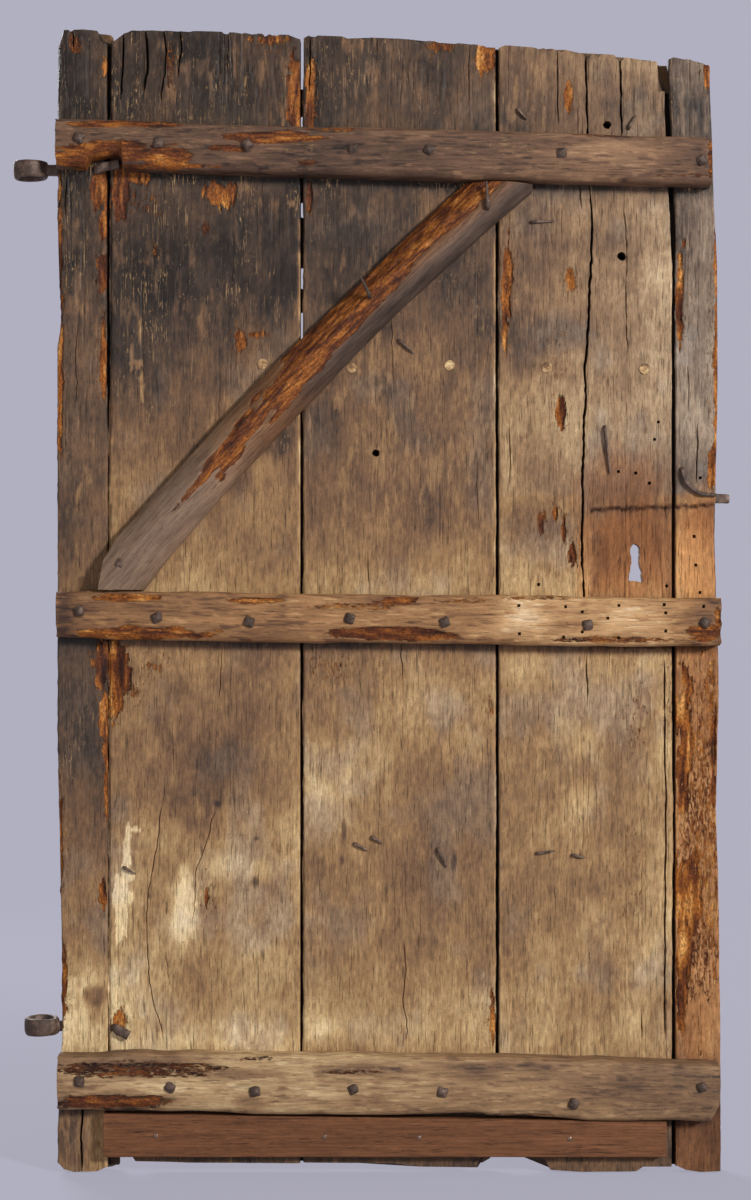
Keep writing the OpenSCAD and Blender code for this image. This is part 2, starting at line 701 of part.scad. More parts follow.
module ledge_nail_row(k) {
    color("#5a4737") for (n = [0 : len(ledge_nails[k]) - 1])
        forged_nail(ledge_nail(k, n), face_y - ledge_t, point_turn + n * point_step);
}

module top_ledge_nails() {
    ledge_nail_row(0);
}

module middle_ledge_nails() {
    ledge_nail_row(1);
}

module bottom_ledge_nails() {
    ledge_nail_row(2);
}

// Nail whose head end is bent over at depth y instead of being driven home
module bent_nail(at, y, length, turn) {
    translate([at[0], 0, at[1]]) {
        translate([-nail_w / 2, y - nail_w, -nail_w / 2]) cube([nail_w, 0.8 * board_t - y, nail_w]);
        translate([0, y - nail_w, 0]) rotate([0, -turn, 0])
            translate([-nail_w / 2, 0, -nail_w / 2]) cube([length, nail_w, nail_w]);
    }
}

module brace_nails() {
    color("#4d3d33") for (p = brace_nails) {
        at = along_brace(p[0], p[1]);
        if (p[2] == 0) forged_nail(at, face_y - brace_seat * brace_t, point_turn);
        else bent_nail(at, face_y - brace_t, p[2], p[3]);
    }
}

module foot_board_nails() {
    color("#6b625c") for (p = foot_board_nails) {
        at = foot_board_nail(p);
        front = face_y - foot_board_t;
        translate([at[0], front, at[1]]) {
            rotate([90, 0, 0]) cylinder(h = foot_board_nail_head_h, r = foot_board_nail_head_r);
            translate([-foot_board_nail_w / 2, -eps, -foot_board_nail_w / 2])
                cube([foot_board_nail_w, foot_board_t + 0.8 * board_t, foot_board_nail_w]);
        }
    }
}

// Nails driven from the rear, with their points bent over on the ledged face
module clenched_nails() {
    color("#5b4a3c") for (p = clenched) {
        at = off_ledge(p);
        w = p[6];
        translate([at[0], 0, at[1]]) {
            translate([0, rear_y, 0]) rotate([0, 0, 180]) rose_head(clench_nail_head_w, clench_nail_head_h);
            translate([-w / 2, face_y - clench_nail_t / 2, -w / 2])
                cube([w, board_t + clench_nail_t / 2 + eps, w]);
            translate([0, face_y - clench_nail_t, 0]) rotate([0, -p[5], 0])
                translate([-w / 2, 0, -w / 2]) cube([p[4], clench_nail_t, w]);
        }
    }
}

// Spike driven into the lock stile and hammered over in a bow
module bent_spike() {
    shoulder = [0, spike_w / 2];
    color("#6a5545") {
        on_face([spike_end + shoulder + [spike_w / 2, 0], spike_end - shoulder + [spike_w / 2, 0],
                 spike_bend - shoulder, spike_start - [spike_w / 2, spike_w / 2],
                 spike_start + [-spike_w / 2, spike_w / 2], spike_start + [spike_w / 2, spike_w / 2],
                 spike_bend + shoulder + [spike_w / 3, spike_w / 3]], spike_t);
        spike_shank(0);
    }
}

// Root of the spike, driven part way into the lock stile, grown by some play
module spike_shank(grow) {
    w = spike_w + 2 * grow;
    translate([spike_start[0] - w / 2, face_y - eps, spike_start[1] - w / 2]) cube([w, spike_root + grow, w]);
}

// Latch bar seated in the lock stile's edge, grown by some play
module bar_block(grow) {
    translate([lock_x - bar_seat - grow, -bar_t / 2 - grow, bar_z - bar_h / 2 - grow])
        cube([bar_seat + bar_reach + grow, bar_t + 2 * grow, bar_h + 2 * grow]);
}

module latch_bar() {
    color("#6d5d52") bar_block(0);
}

module wooden_pegs() {
    color("#a58b6c") for (p = pegs)
        translate([off_ledge(p)[0], rear_y, off_ledge(p)[1]])
            rotate([90, 0, 0]) cylinder(h = board_t, r = peg_r);
}

hanging_stile();
hinge_board();
middle_board();
lock_board();
lock_stile();
top_ledge();
middle_ledge();
bottom_ledge();
brace();
foot_board();
upper_hinge_eye();
lower_hinge_eye();
top_ledge_nails();
middle_ledge_nails();
bottom_ledge_nails();
brace_nails();
foot_board_nails();
clenched_nails();
bent_spike();
latch_bar();
wooden_pegs();
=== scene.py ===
"""Looks of an old ledged plank door leaf, laid out as a Blender add-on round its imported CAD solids.

Each operator in the sidebar builds one kind of piece: the uprights, the ledges, the split-pole brace,
the foot board, the forged ironwork, the nails, the pegs and the stage. The outlines of the uprights and
ledges are read from the CAD solids by straight lines, the nails, pegs and holes from their corners, and
the brace follows its own sizes. So every piece keeps the place and form of its solid and adds worn
edges, grain, splits and torn fibre. Lengths in the code are in millimetres, as in the CAD source, and
turn into metres where a mesh is made.
"""

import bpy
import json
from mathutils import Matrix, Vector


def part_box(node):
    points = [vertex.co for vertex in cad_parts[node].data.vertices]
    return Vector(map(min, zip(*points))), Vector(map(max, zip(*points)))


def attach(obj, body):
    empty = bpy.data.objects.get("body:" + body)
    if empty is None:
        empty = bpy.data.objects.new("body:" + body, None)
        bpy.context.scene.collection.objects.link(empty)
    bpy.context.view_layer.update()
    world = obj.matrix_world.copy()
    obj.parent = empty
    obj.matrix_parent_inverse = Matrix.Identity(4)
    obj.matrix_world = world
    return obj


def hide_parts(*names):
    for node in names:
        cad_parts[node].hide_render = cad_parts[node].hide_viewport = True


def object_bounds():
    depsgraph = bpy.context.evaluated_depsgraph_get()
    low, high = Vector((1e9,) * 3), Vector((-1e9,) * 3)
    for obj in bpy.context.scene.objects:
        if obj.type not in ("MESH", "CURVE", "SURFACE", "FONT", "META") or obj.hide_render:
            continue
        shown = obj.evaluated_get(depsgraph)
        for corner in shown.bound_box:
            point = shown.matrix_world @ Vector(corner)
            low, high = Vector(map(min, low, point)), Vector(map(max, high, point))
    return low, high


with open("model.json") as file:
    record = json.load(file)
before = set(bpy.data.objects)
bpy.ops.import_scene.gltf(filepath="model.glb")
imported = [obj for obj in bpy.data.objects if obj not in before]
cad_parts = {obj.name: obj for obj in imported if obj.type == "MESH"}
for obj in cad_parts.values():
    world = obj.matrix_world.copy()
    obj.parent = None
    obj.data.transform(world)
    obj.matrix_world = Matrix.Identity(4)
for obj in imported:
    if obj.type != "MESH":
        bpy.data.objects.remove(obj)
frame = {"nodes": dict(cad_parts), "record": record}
CAD_BOX = [list(corner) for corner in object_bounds()]

import functools
import json
import math

import bmesh
import bpy
import numpy as np
from mathutils import Vector
from mathutils.bvhtree import BVHTree

bl_info = {
    "name": "Old Plank Door Leaf",
    "version": (1, 0, 0),
    "blender": (4, 5, 0),
    "location": "View3D > Sidebar > Plank Door",
    "description": "Builds the weathered boards, ledges, brace and ironwork of a plank door leaf",
    "category": "Add Mesh",
}

MM = 0.001
FACE_Y = -15.0
REAR_Y = 15.0
FINISH = "finish"
BARE = "bare"


# Settings

def linear(code):
    """Linear red, green and blue of a colour written as sRGB hex."""
    parts = [int(code[k : k + 2], 16) / 255 for k in (1, 3, 5)]
    return tuple(c / 12.92 if c <= 0.04045 else ((c + 0.055) / 1.055) ** 2.4 for c in parts)


def length_setting(name, description, millimetres):
    """A length that the sidebar shows in the scene's unit."""
    return bpy.props.FloatProperty(
        name=name, description=description, default=millimetres * MM, min=0.0, unit="LENGTH", precision=4
    )


def colour_setting(name, description, code):
    """A colour given as sRGB hex."""
    return bpy.props.FloatVectorProperty(
        name=name, description=description, default=linear(code), min=0.0, max=1.0, size=3, subtype="COLOR"
    )


class PlankDoorSizes(bpy.types.PropertyGroup):
    """Mesh spacing and depth of the wear."""

    column_step: length_setting("Column step", "Spacing of the mesh across a board", 2.2)
    row_step: length_setting("Row step", "Spacing of the mesh along the grain", 4.5)
    edge_round: length_setting("Edge round", "Radius of the worn edges of the uprights", 3.0)
    ledge_round: length_setting("Ledge round", "Radius of the worn front edges of the ledges", 10.0)
    hollow: length_setting("Hollows", "Height of the slow waves left by the axe and adze", 1.0)
    grain: length_setting("Grain", "Height of the weathered ridges of the grain", 0.4)
    furrow: length_setting("Furrows", "Depth of the furrows where soft grain has weathered away", 1.6)
    tear: length_setting("Tears", "Depth of the places where the surface is torn off", 2.6)


class PlankDoorColours(bpy.types.PropertyGroup):
    """Colours of the wood, the iron and the background."""

    oak_black: colour_setting("Oak black", "Dirt in the deepest grain of the boards", "#1d1611")
    oak_char: colour_setting("Oak char", "Charcoal patina of the upper boards", "#45352a")
    oak_brown: colour_setting("Oak brown", "Brown patina of the boards", "#70533c")
    oak_tan: colour_setting("Oak tan", "Worn tan of the boards", "#94724e")
    oak_pale: colour_setting("Oak pale", "Bleached tan of the lower boards", "#b7976b")
    oak_cream: colour_setting("Oak cream", "Palest scrubbed wood", "#dfc494")
    ledge_black: colour_setting("Ledge black", "Dirt in the grain of the ledges", "#1b110b")
    ledge_char: colour_setting("Ledge dark", "Dark patina of the ledges and the brace", "#432e22")
    ledge_brown: colour_setting("Ledge brown", "Brown patina of the ledges", "#6f4c32")
    ledge_tan: colour_setting("Ledge tan", "Worn tan of the ledges", "#976d45")
    ledge_pale: colour_setting("Ledge pale", "Bleached wood of the ledges", "#bf9666")
    ledge_cream: colour_setting("Ledge cream", "Palest wood of the ledges", "#dfc39d")
    raw_dark: colour_setting("Raw dark", "Shadowed torn fibre", "#26120a")
    raw_red: colour_setting("Raw red", "Red-brown torn fibre", "#5a2d13")
    raw_orange: colour_setting("Raw orange", "Orange torn fibre", "#93561f")
    raw_pale: colour_setting("Raw pale", "Pale tips of torn fibre", "#c8904f")
    fresh_dark: colour_setting("Fresh dark", "Grooves of the cleaner red-brown wood", "#4a2a18")
    fresh_mid: colour_setting("Fresh brown", "Warm brown of the cleaner wood", "#905d37")
    fresh_pale: colour_setting("Fresh orange", "Clean orange where the lost lock was", "#d0975f")
    worn_chip: colour_setting("Worn chips", "Chips and scratches in the dark patina", "#a8855b")
    plane_dark: colour_setting("Planed dark", "Dark grain of the planed foot board", "#4c2d1c")
    plane_mid: colour_setting("Planed red", "Red-brown of the planed foot board", "#72492e")
    plane_pale: colour_setting("Planed pale", "Rubbed places of the planed foot board", "#94694d")
    iron_dark: colour_setting("Iron dark", "Black scale of the forged iron", "#231912")
    iron_brown: colour_setting("Iron brown", "Brown rust skin of the forged iron", "#48362a")
    iron_rub: colour_setting("Iron rubbed", "Rubbed grey-brown high spots of the iron", "#7d6556")
    background: colour_setting("Background", "Pale lavender-grey of the floor and all round", "#b1b0c0")


class PlankDoorStage(bpy.types.PropertyGroup):
    """Camera and light."""

    distance: length_setting("Camera distance", "From the camera to the face of the boards", 3500.0)
    lens: bpy.props.FloatProperty(
        name="Lens", description="Focal length of the camera", default=70.0, min=10.0, unit="CAMERA"
    )
    key: bpy.props.FloatProperty(
        name="Key light", description="Power of the light above on the right", default=600.0, unit="POWER"
    )
    fill: bpy.props.FloatProperty(
        name="Fill light", description="Power of the wide light on the left", default=26.0, unit="POWER"
    )
    back: bpy.props.FloatProperty(
        name="Back light", description="Power of the light behind the leaf", default=300.0, unit="POWER"
    )
    sky: bpy.props.FloatProperty(
        name="Sky light",
        description="Brightness of the even light all round",
        default=0.2,
        min=0.0,
        subtype="FACTOR",
    )


def size(name):
    """A setting of the sizes group in millimetres."""
    return getattr(bpy.context.scene.plank_door_sizes, name) / MM


def stops(*names):
    """Linear colours of the named settings, one row each."""
    group = bpy.context.scene.plank_door_colours
    return np.array([tuple(getattr(group, name)) for name in names])


# Noise and blending

@functools.lru_cache(maxsize=None)
def lattice(seed):
    """Table of 256 by 256 seeded values from -1 to 1 that smooth noise is blended from."""
    return np.random.default_rng(seed).uniform(-1.0, 1.0, (256, 256))


def noise(a, b, seed):
    """Smooth noise at (a, b): the four table values round a point, blended by 3t^2 - 2t^3 each way."""
    i, j = np.floor(a).astype(int), np.floor(b).astype(int)
    u, v = a - i, b - j
    u, v = u * u * (3 - 2 * u), v * v * (3 - 2 * v)
    table = lattice(seed)
    i0, i1, j0, j1 = i & 255, (i + 1) & 255, j & 255, (j + 1) & 255
    near = table[i0, j0] * (1 - u) + table[i1, j0] * u
    far = table[i0, j1] * (1 - u) + table[i1, j1] * u
    return near * (1 - v) + far * v


def fibres(across, along, width, length, seed, layers=3):
    """Noise drawn out along the grain: layers of smooth noise, each half as wide, long and strong."""
    total = np.zeros(np.broadcast(across, along).shape)
    for k in range(layers):
        total = total + 0.5**k * noise(across / width * 2**k, along / length * 2**k, seed + 31 * k)
    return total / (2 - 0.5 ** (layers - 1))


def ease(low, high, value):
    """Zero below low, one above high and 3t^2 - 2t^3 between them."""
    t = np.clip((value - low) / (high - low), 0.0, 1.0)
    return t * t * (3 - 2 * t)


def shade(colours, tone):
    """Colour at each tone from 0 to 1 along evenly spaced stops."""
    places = np.linspace(0.0, 1.0, len(colours))
    return np.stack([np.interp(tone, places, colours[:, c]) for c in range(3)], -1)


def mix(first, second, share):
    """Blend of two colour arrays by a share for each point."""
    return first + (second - first) * np.asarray(share)[..., None]


def greyed(colour, tint, share):
    """Colour moved by a share towards a tinted grey of its own lightness."""
    luma = colour @ np.array([0.25, 0.6, 0.15])
    return mix(colour, luma[:, None] * np.array(tint), share)


def ovals(x, z, patches, ragged):
    """Share of the strongest patch at each point: its strength in the middle, falling to nothing at its rim.

    A patch is its middle x and z, its width and height, and its strength.
    """
    share = np.zeros(x.shape)
    for mid_x, mid_z, wide, high, strength in patches:
        away = np.hypot((x - mid_x) / (wide / 2), (z - mid_z) / (high / 2)) + ragged
        share = np.maximum(share, strength * (1 - ease(0.55, 1.45, away)))
    return share


def stains(x, z, spots, ragged):
    """Sum of the soft spots at each point, each fading from its middle: x, z, width, height, amount."""
    total = np.zeros(x.shape)
    for mid_x, mid_z, wide, high, amount in spots:
        away = np.hypot((x - mid_x) / (wide / 2), (z - mid_z) / (high / 2)) + ragged
        total = total + amount * (1 - ease(0.35, 1.3, away))
    return total


# Meshes

def tube_faces(rows, columns):
    """Quads between the rings of a tube, and one face over each end."""
    index = np.arange(rows * columns).reshape(rows, columns)
    turned = np.roll(index, -1, axis=1)
    quads = np.stack([index[:-1], turned[:-1], turned[1:], index[1:]], -1).reshape(-1, 4)
    return quads.tolist() + [index[0][::-1].tolist(), index[-1].tolist()]


def torus_faces(rows, columns):
    """Quads of a ring that is closed both ways."""
    index = np.arange(rows * columns).reshape(rows, columns)
    turned, ahead = np.roll(index, -1, axis=1), np.roll(index, -1, axis=0)
    both = np.roll(turned, -1, axis=0)
    return np.stack([index, turned, both, ahead], -1).reshape(-1, 4).tolist()


def joined(parts):
    """One list of points and one of faces from several (points, faces) parts."""
    points, faces, first = [], [], 0
    for part_points, part_faces in parts:
        points.append(part_points)
        faces.extend([[first + i for i in face] for face in part_faces])
        first += len(part_points)
    return np.concatenate(points), faces


def tube(rings):
    """Points and faces of a closed tube from an array of rings."""
    return rings.reshape(-1, 3), tube_faces(*rings.shape[:2])


def mesh_object(name, points, faces):
    """A mesh object at the origin from points in millimetres, with its faces turned outward."""
    mesh = bpy.data.meshes.new(name)
    mesh.from_pydata((np.asarray(points) * MM).tolist(), [], faces)
    shell = bmesh.new()
    shell.from_mesh(mesh)
    bmesh.ops.recalc_face_normals(shell, faces=shell.faces)
    shell.to_mesh(mesh)
    shell.free()
    made = bpy.data.objects.new(name, mesh)
    bpy.context.scene.collection.objects.link(made)
    return made


def cut(made, cutter):
    """Takes the cutter's closed forms out of a piece and removes the cutter."""
    bore = made.modifiers.new("cut", "BOOLEAN")
    bore.operation, bore.solver, bore.object = "DIFFERENCE", "MANIFOLD", cutter
    graph = bpy.context.evaluated_depsgraph_get()
    carved = bpy.data.meshes.new_from_object(made.evaluated_get(graph))
    made.modifiers.clear()
    carved.materials.clear()
    made.data = carved
    bpy.data.objects.remove(cutter)


def vertices(made):
    """Points of a piece in millimetres, one row each."""
    flat = np.empty(len(made.data.vertices) * 3, np.float32)
    made.data.vertices.foreach_get("co", flat)
    return flat.reshape(-1, 3).astype(float) / MM


def paint(made, colours, polish, name=FINISH):
    """Stores a colour on each point and, as its alpha, a share from 0 to 1."""
    layer = made.data.attributes.new(name, "FLOAT_COLOR", "POINT")
    full = np.concatenate([np.clip(colours, 0.0, 1.0), np.clip(polish, 0.0, 1.0)[:, None]], 1)
    layer.data.foreach_set("color", full.astype(np.float32).ravel())


def paint_wood(made, patina, polish, raw, torn):
    """Stores the patina with its polish, and the bare wood under it with how far it is torn open."""
    paint(made, patina, polish)
    paint(made, raw, torn, BARE)


def settle(made, node, material, angle=42.0):
    """Smooth shading, finish and body of a piece, with the CAD node that it stands for hidden."""
    made.data.shade_smooth()
    made.data.set_sharp_from_angle(angle=math.radians(angle))
    made.data.materials.append(material)
    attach(made, "root")
    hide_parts(node)
    return made


# Reading the CAD solids

# How far outside a solid the lines that read it start
LEAD = 50.0


def solid(node):
    """A function that gives where parallel lines first meet a CAD node, along their own axis."""
    mesh = frame["nodes"][node].data
    tree = BVHTree.FromPolygons([v.co[:] for v in mesh.vertices], [p.vertices[:] for p in mesh.polygons])

    def reach(starts, direction):
        axis = int(np.argmax(np.abs(direction)))
        hits = [tree.ray_cast(Vector(start) * MM, Vector(direction))[0] for start in starts]
        return np.array([np.nan if hit is None else hit[axis] / MM for hit in hits])

    return reach


def filled(values):
    """The values with gaps, where a line missed the solid, filled in from their neighbours."""
    places, good = np.arange(len(values)), np.isfinite(values)
    return np.interp(places, places[good], values[good])


def corners(node):
    """Lowest and highest corner of a CAD node in millimetres."""
    return [np.array(corner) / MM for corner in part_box(node)]


def separate_solids(node, level=None):
    """Points of each separate solid of a CAD node, or of each separate flat place that it has at one depth y.

    Points are joined along faces until no label changes.
    """
    mesh = frame["nodes"][node].data
    flat = np.empty(len(mesh.vertices) * 3, np.float32)
    mesh.vertices.foreach_get("co", flat)
    points, same = np.unique(np.round(flat.reshape(-1, 3) / MM, 2), axis=0, return_inverse=True)
    mesh.calc_loop_triangles()
    corner = np.empty(len(mesh.loop_triangles) * 3, np.int32)
    mesh.loop_triangles.foreach_get("vertices", corner)
    triangles = same.ravel()[corner].reshape(-1, 3)
    if level is not None:
        triangles = triangles[np.abs(points[:, 1][triangles] - level).max(1) < 0.1]
    label = np.arange(len(points))
    while True:
        lowest = label[triangles].min(1)
        after = label.copy()
        for c in range(3):
            np.minimum.at(after, triangles[:, c], lowest)
        if (after == label).all():
            return [points[label == k] for k in np.unique(label[triangles])]
        label = after


# Materials

# Noise of each kind of wear: its cell along and across the grain in millimetres, and its detail
CHIPS = (9.0, 3.0, 7.0)
SCRATCHES = (40.0, 2.0, 2.0)
CLUSTERS = (70.0, 34.0, 4.0)
CRUMBS = (5.0, 2.6, 8.0)
# Spans of the noise over which each kind of wear sets in
GRAIN_SPAN = (0.55, 1.05)
CHECK_SPAN = (0.33, 0.41)
PIT_SPAN = (0.58, 0.66)
CHIP_SPAN = (0.57, 0.62)
SCRATCH_SPAN = (0.6, 0.65)
CLUSTER_SPAN = (0.5, 0.66)
TORN_SPAN = (1.2, 1.32)
CRUMB_SPAN = (0.36, 0.64)
RUST_SPAN = (0.35, 0.65)


def empty_tree(owner):
    """The node tree of a new material or world, with nothing in it."""
    owner.use_nodes = True
    owner.node_tree.nodes.clear()
    return owner.node_tree


def add_node(tree, kind, inputs=(), **options):
    """Adds a node with its options, and fills each input with a value, a link or a node's first output."""
    made = tree.nodes.new(kind)
    for key, value in options.items():
        setattr(made, key, value)
    for key, value in dict(inputs).items():
        if isinstance(value, bpy.types.Node):
            value = value.outputs[0]
        if isinstance(value, bpy.types.NodeSocket):
            tree.links.new(value, made.inputs[key])
        else:
            made.inputs[key].default_value = value
    return made


def stretched_noise(tree, cell, turn, detail):
    """Noise in object coordinates whose cells are real sizes in millimetres, turned about y."""
    place = add_node(tree, "ShaderNodeTexCoord").outputs["Object"]
    along = add_node(
        tree,
        "ShaderNodeMapping",
        {"Vector": place, "Rotation": (0.0, turn, 0.0), "Scale": [s * MM for s in cell]},
        vector_type="TEXTURE",
    )
    settings = {"Vector": along, "Scale": 1.0, "Detail": detail, "Roughness": 0.7}
    return add_node(tree, "ShaderNodeTexNoise", settings)


def painted_material(name, cell, pore, turn=0.0, depth=0.4, contrast=0.36, flecks=0.0, rough=(0.86, 0.5)):
    """Wood whose colour and polish come from the piece's own paint.

    Fibres and pores are noise drawn out along the grain that varies the colour and raises the bump.
    Flecks are scratches and worn pale chips, in clusters, where the patina is dark. A ragged threshold on
    the torn share opens the patina to bare crumbly fibre.
    """
    material = bpy.data.materials.new(name)
    tree = empty_tree(material)
    coat = add_node(tree, "ShaderNodeAttribute", attribute_name=FINISH)
    bare = add_node(tree, "ShaderNodeAttribute", attribute_name=BARE)
    fibre, pores = stretched_noise(tree, cell, turn, 6.0), stretched_noise(tree, pore, turn, 3.0)
    along = np.array(cell) == max(cell)
    chips, scratches, clusters, crumbs = [
        stretched_noise(tree, np.where(along, long, wide), turn, detail)
        for long, wide, detail in (CHIPS, SCRATCHES, CLUSTERS, CRUMBS)
    ]
    height = add_node(tree, "ShaderNodeMath", {0: pores, 1: 0.6, 2: fibre}, operation="MULTIPLY_ADD")
    grain = add_node(tree, "ShaderNodeMapRange", enumerate((height, *GRAIN_SPAN, 1 - contrast, 1 + contrast)))
    check_dark, pit_dark = 1 - 1.4 * contrast, 1 - 1.2 * contrast
    checks = add_node(tree, "ShaderNodeMapRange", enumerate((scratches, *CHECK_SPAN, check_dark, 1.0)))
    pits = add_node(tree, "ShaderNodeMapRange", enumerate((pores, *PIT_SPAN, 1.0, pit_dark)))
    lift = add_node(tree, "ShaderNodeMath", {0: grain, 1: checks}, operation="MULTIPLY")
    lift = add_node(tree, "ShaderNodeMath", {0: lift, 1: pits}, operation="MULTIPLY")
    colour = add_node(
        tree, "ShaderNodeVectorMath", {0: coat.outputs["Color"], "Scale": lift}, operation="SCALE"
    )
    chipped = add_node(tree, "ShaderNodeMapRange", enumerate((chips, *CHIP_SPAN)))
    scratched = add_node(tree, "ShaderNodeMapRange", enumerate((scratches, *SCRATCH_SPAN)))
    marks = add_node(tree, "ShaderNodeMath", {0: chipped, 1: scratched}, operation="MAXIMUM")
    near = add_node(tree, "ShaderNodeMapRange", enumerate((clusters, *CLUSTER_SPAN, 0.04 * flecks, flecks)))
    where = add_node(tree, "ShaderNodeMath", {0: near, 1: coat.outputs["Alpha"]}, operation="MULTIPLY")
    worn = add_node(tree, "ShaderNodeMath", {0: marks, 1: where}, operation="MULTIPLY")
    pale = (*stops("worn_chip")[0], 1.0)
    colour = add_node(tree, "ShaderNodeMix", {"Factor": worn, "A": colour, "B": pale}, data_type="RGBA")
    colour = colour.outputs["Result"]
    ragged = add_node(
        tree, "ShaderNodeMath", {0: chips, 1: 1.5, 2: bare.outputs["Alpha"]}, operation="MULTIPLY_ADD"
    )
    opened = add_node(tree, "ShaderNodeMapRange", enumerate((ragged, *TORN_SPAN)))
    crumbly = add_node(tree, "ShaderNodeMapRange", enumerate((crumbs, *CRUMB_SPAN, 0.35, 1.7)))
    grit = add_node(
        tree, "ShaderNodeVectorMath", {0: bare.outputs["Color"], "Scale": crumbly}, operation="SCALE"
    )
    colour = add_node(tree, "ShaderNodeMix", {"Factor": opened, "A": colour, "B": grit}, data_type="RGBA")
    rise = add_node(tree, "ShaderNodeMath", {0: crumbs, 1: opened}, operation="MULTIPLY")
    height = add_node(tree, "ShaderNodeMath", {0: rise, 1: 5.0, 2: height}, operation="MULTIPLY_ADD")
    roughness = add_node(tree, "ShaderNodeMapRange", enumerate((coat.outputs["Alpha"], 0.0, 1.0, *rough)))
    finish_shader(tree, colour.outputs["Result"], roughness, height, depth, specular=0.22)
    return material


def finish_shader(tree, colour, roughness, height, depth, specular=0.5, metal=0.0):
    """Principled shader over a bump whose height is in units of the depth, joined to the output."""
    bump = add_node(tree, "ShaderNodeBump", {"Strength": 0.8, "Distance": depth * MM, "Height": height})
    finish = add_node(
        tree,
        "ShaderNodeBsdfPrincipled",
        {
            "Base Color": colour,
            "Roughness": roughness,
            "Metallic": metal,
            "Specular IOR Level": specular,
            "Normal": bump.outputs[0],
        },
    )
    add_node(tree, "ShaderNodeOutputMaterial", {"Surface": finish.outputs[0]})


def metal_material(name, pit, depth, contrast, rough, metal):
    """Metal whose colour and polish come from the piece's own paint, with pits of a real size."""
    material = bpy.data.materials.new(name)
    tree = empty_tree(material)
    coat = add_node(tree, "ShaderNodeAttribute", attribute_name=FINISH)
    pits = stretched_noise(tree, (pit, pit, pit), 0.0, 6.0)
    lift = add_node(tree, "ShaderNodeMapRange", enumerate((pits, *RUST_SPAN, 1 - contrast, 1 + contrast)))
    colour = add_node(
        tree, "ShaderNodeVectorMath", {0: coat.outputs["Color"], "Scale": lift}, operation="SCALE"
    )
    roughness = add_node(tree, "ShaderNodeMapRange", enumerate((coat.outputs["Alpha"], 0.0, 1.0, *rough)))
    finish_shader(tree, colour, roughness, pits, depth, metal=metal)
    return material


def weathered_oak():
    """Weathered oak, grain upright: dusty matt wood with fine pores, scratches and worn chips where dark."""
    cell, pore = (2.6, 2.6, 15.0), (2.0, 2.0, 3.4)
    return painted_material("oak_boards_weathered", cell, pore, depth=0.5, contrast=0.42, flecks=0.95)


def ledge_oak():
    """Hewn oak, grain level: the same pores, scratches and chips laid along the ledges."""
    return painted_material("oak_ledges_hewn", (40.0, 3.2, 3.2), (9.0, 2.0, 2.0), depth=0.6, flecks=0.8)


def split_oak(turn):
    """Cleft oak, grain along the brace: torn bright fibre on one face, a handled dark sheen on the other."""
    cell, pore = (40.0, 3.2, 3.2), (9.0, 2.0, 2.0)
    return painted_material("oak_brace_cleft", cell, pore, turn, 0.6, rough=(0.8, 0.36))


def planed_softwood():
    """Planed softwood, level straight grain with little relief."""
    return painted_material("softwood_planed", (110.0, 3.0, 3.0), (14.0, 1.6, 1.6), depth=0.2, contrast=0.4)


def peg_wood():
    """Riven pegs seen on their end grain: small round pores."""
    return painted_material("oak_pegs_riven", (2.2, 30.0, 2.2), (0.9, 8.0, 0.9))


def forged_iron():
    """Wrought iron, hammered and rusted: small pits, brown skin and rubbed high spots."""
    return metal_material("iron_forged_rusted", 3.0, 0.5, 0.4, (0.75, 0.45), 0.2)


def drawn_steel():
    """Drawn wire nails, dull grey and a little shiny on the heads."""
    return metal_material("steel_drawn_dull", 2.0, 0.15, 0.15, (0.5, 0.3), 0.7)


# Uprights

OAK = ("oak_black", "oak_char", "oak_brown", "oak_tan", "oak_pale", "oak_cream")
RAW = ("raw_dark", "raw_red", "raw_orange", "raw_pale")
FRESH = ("fresh_dark", "fresh_mid", "fresh_pale")
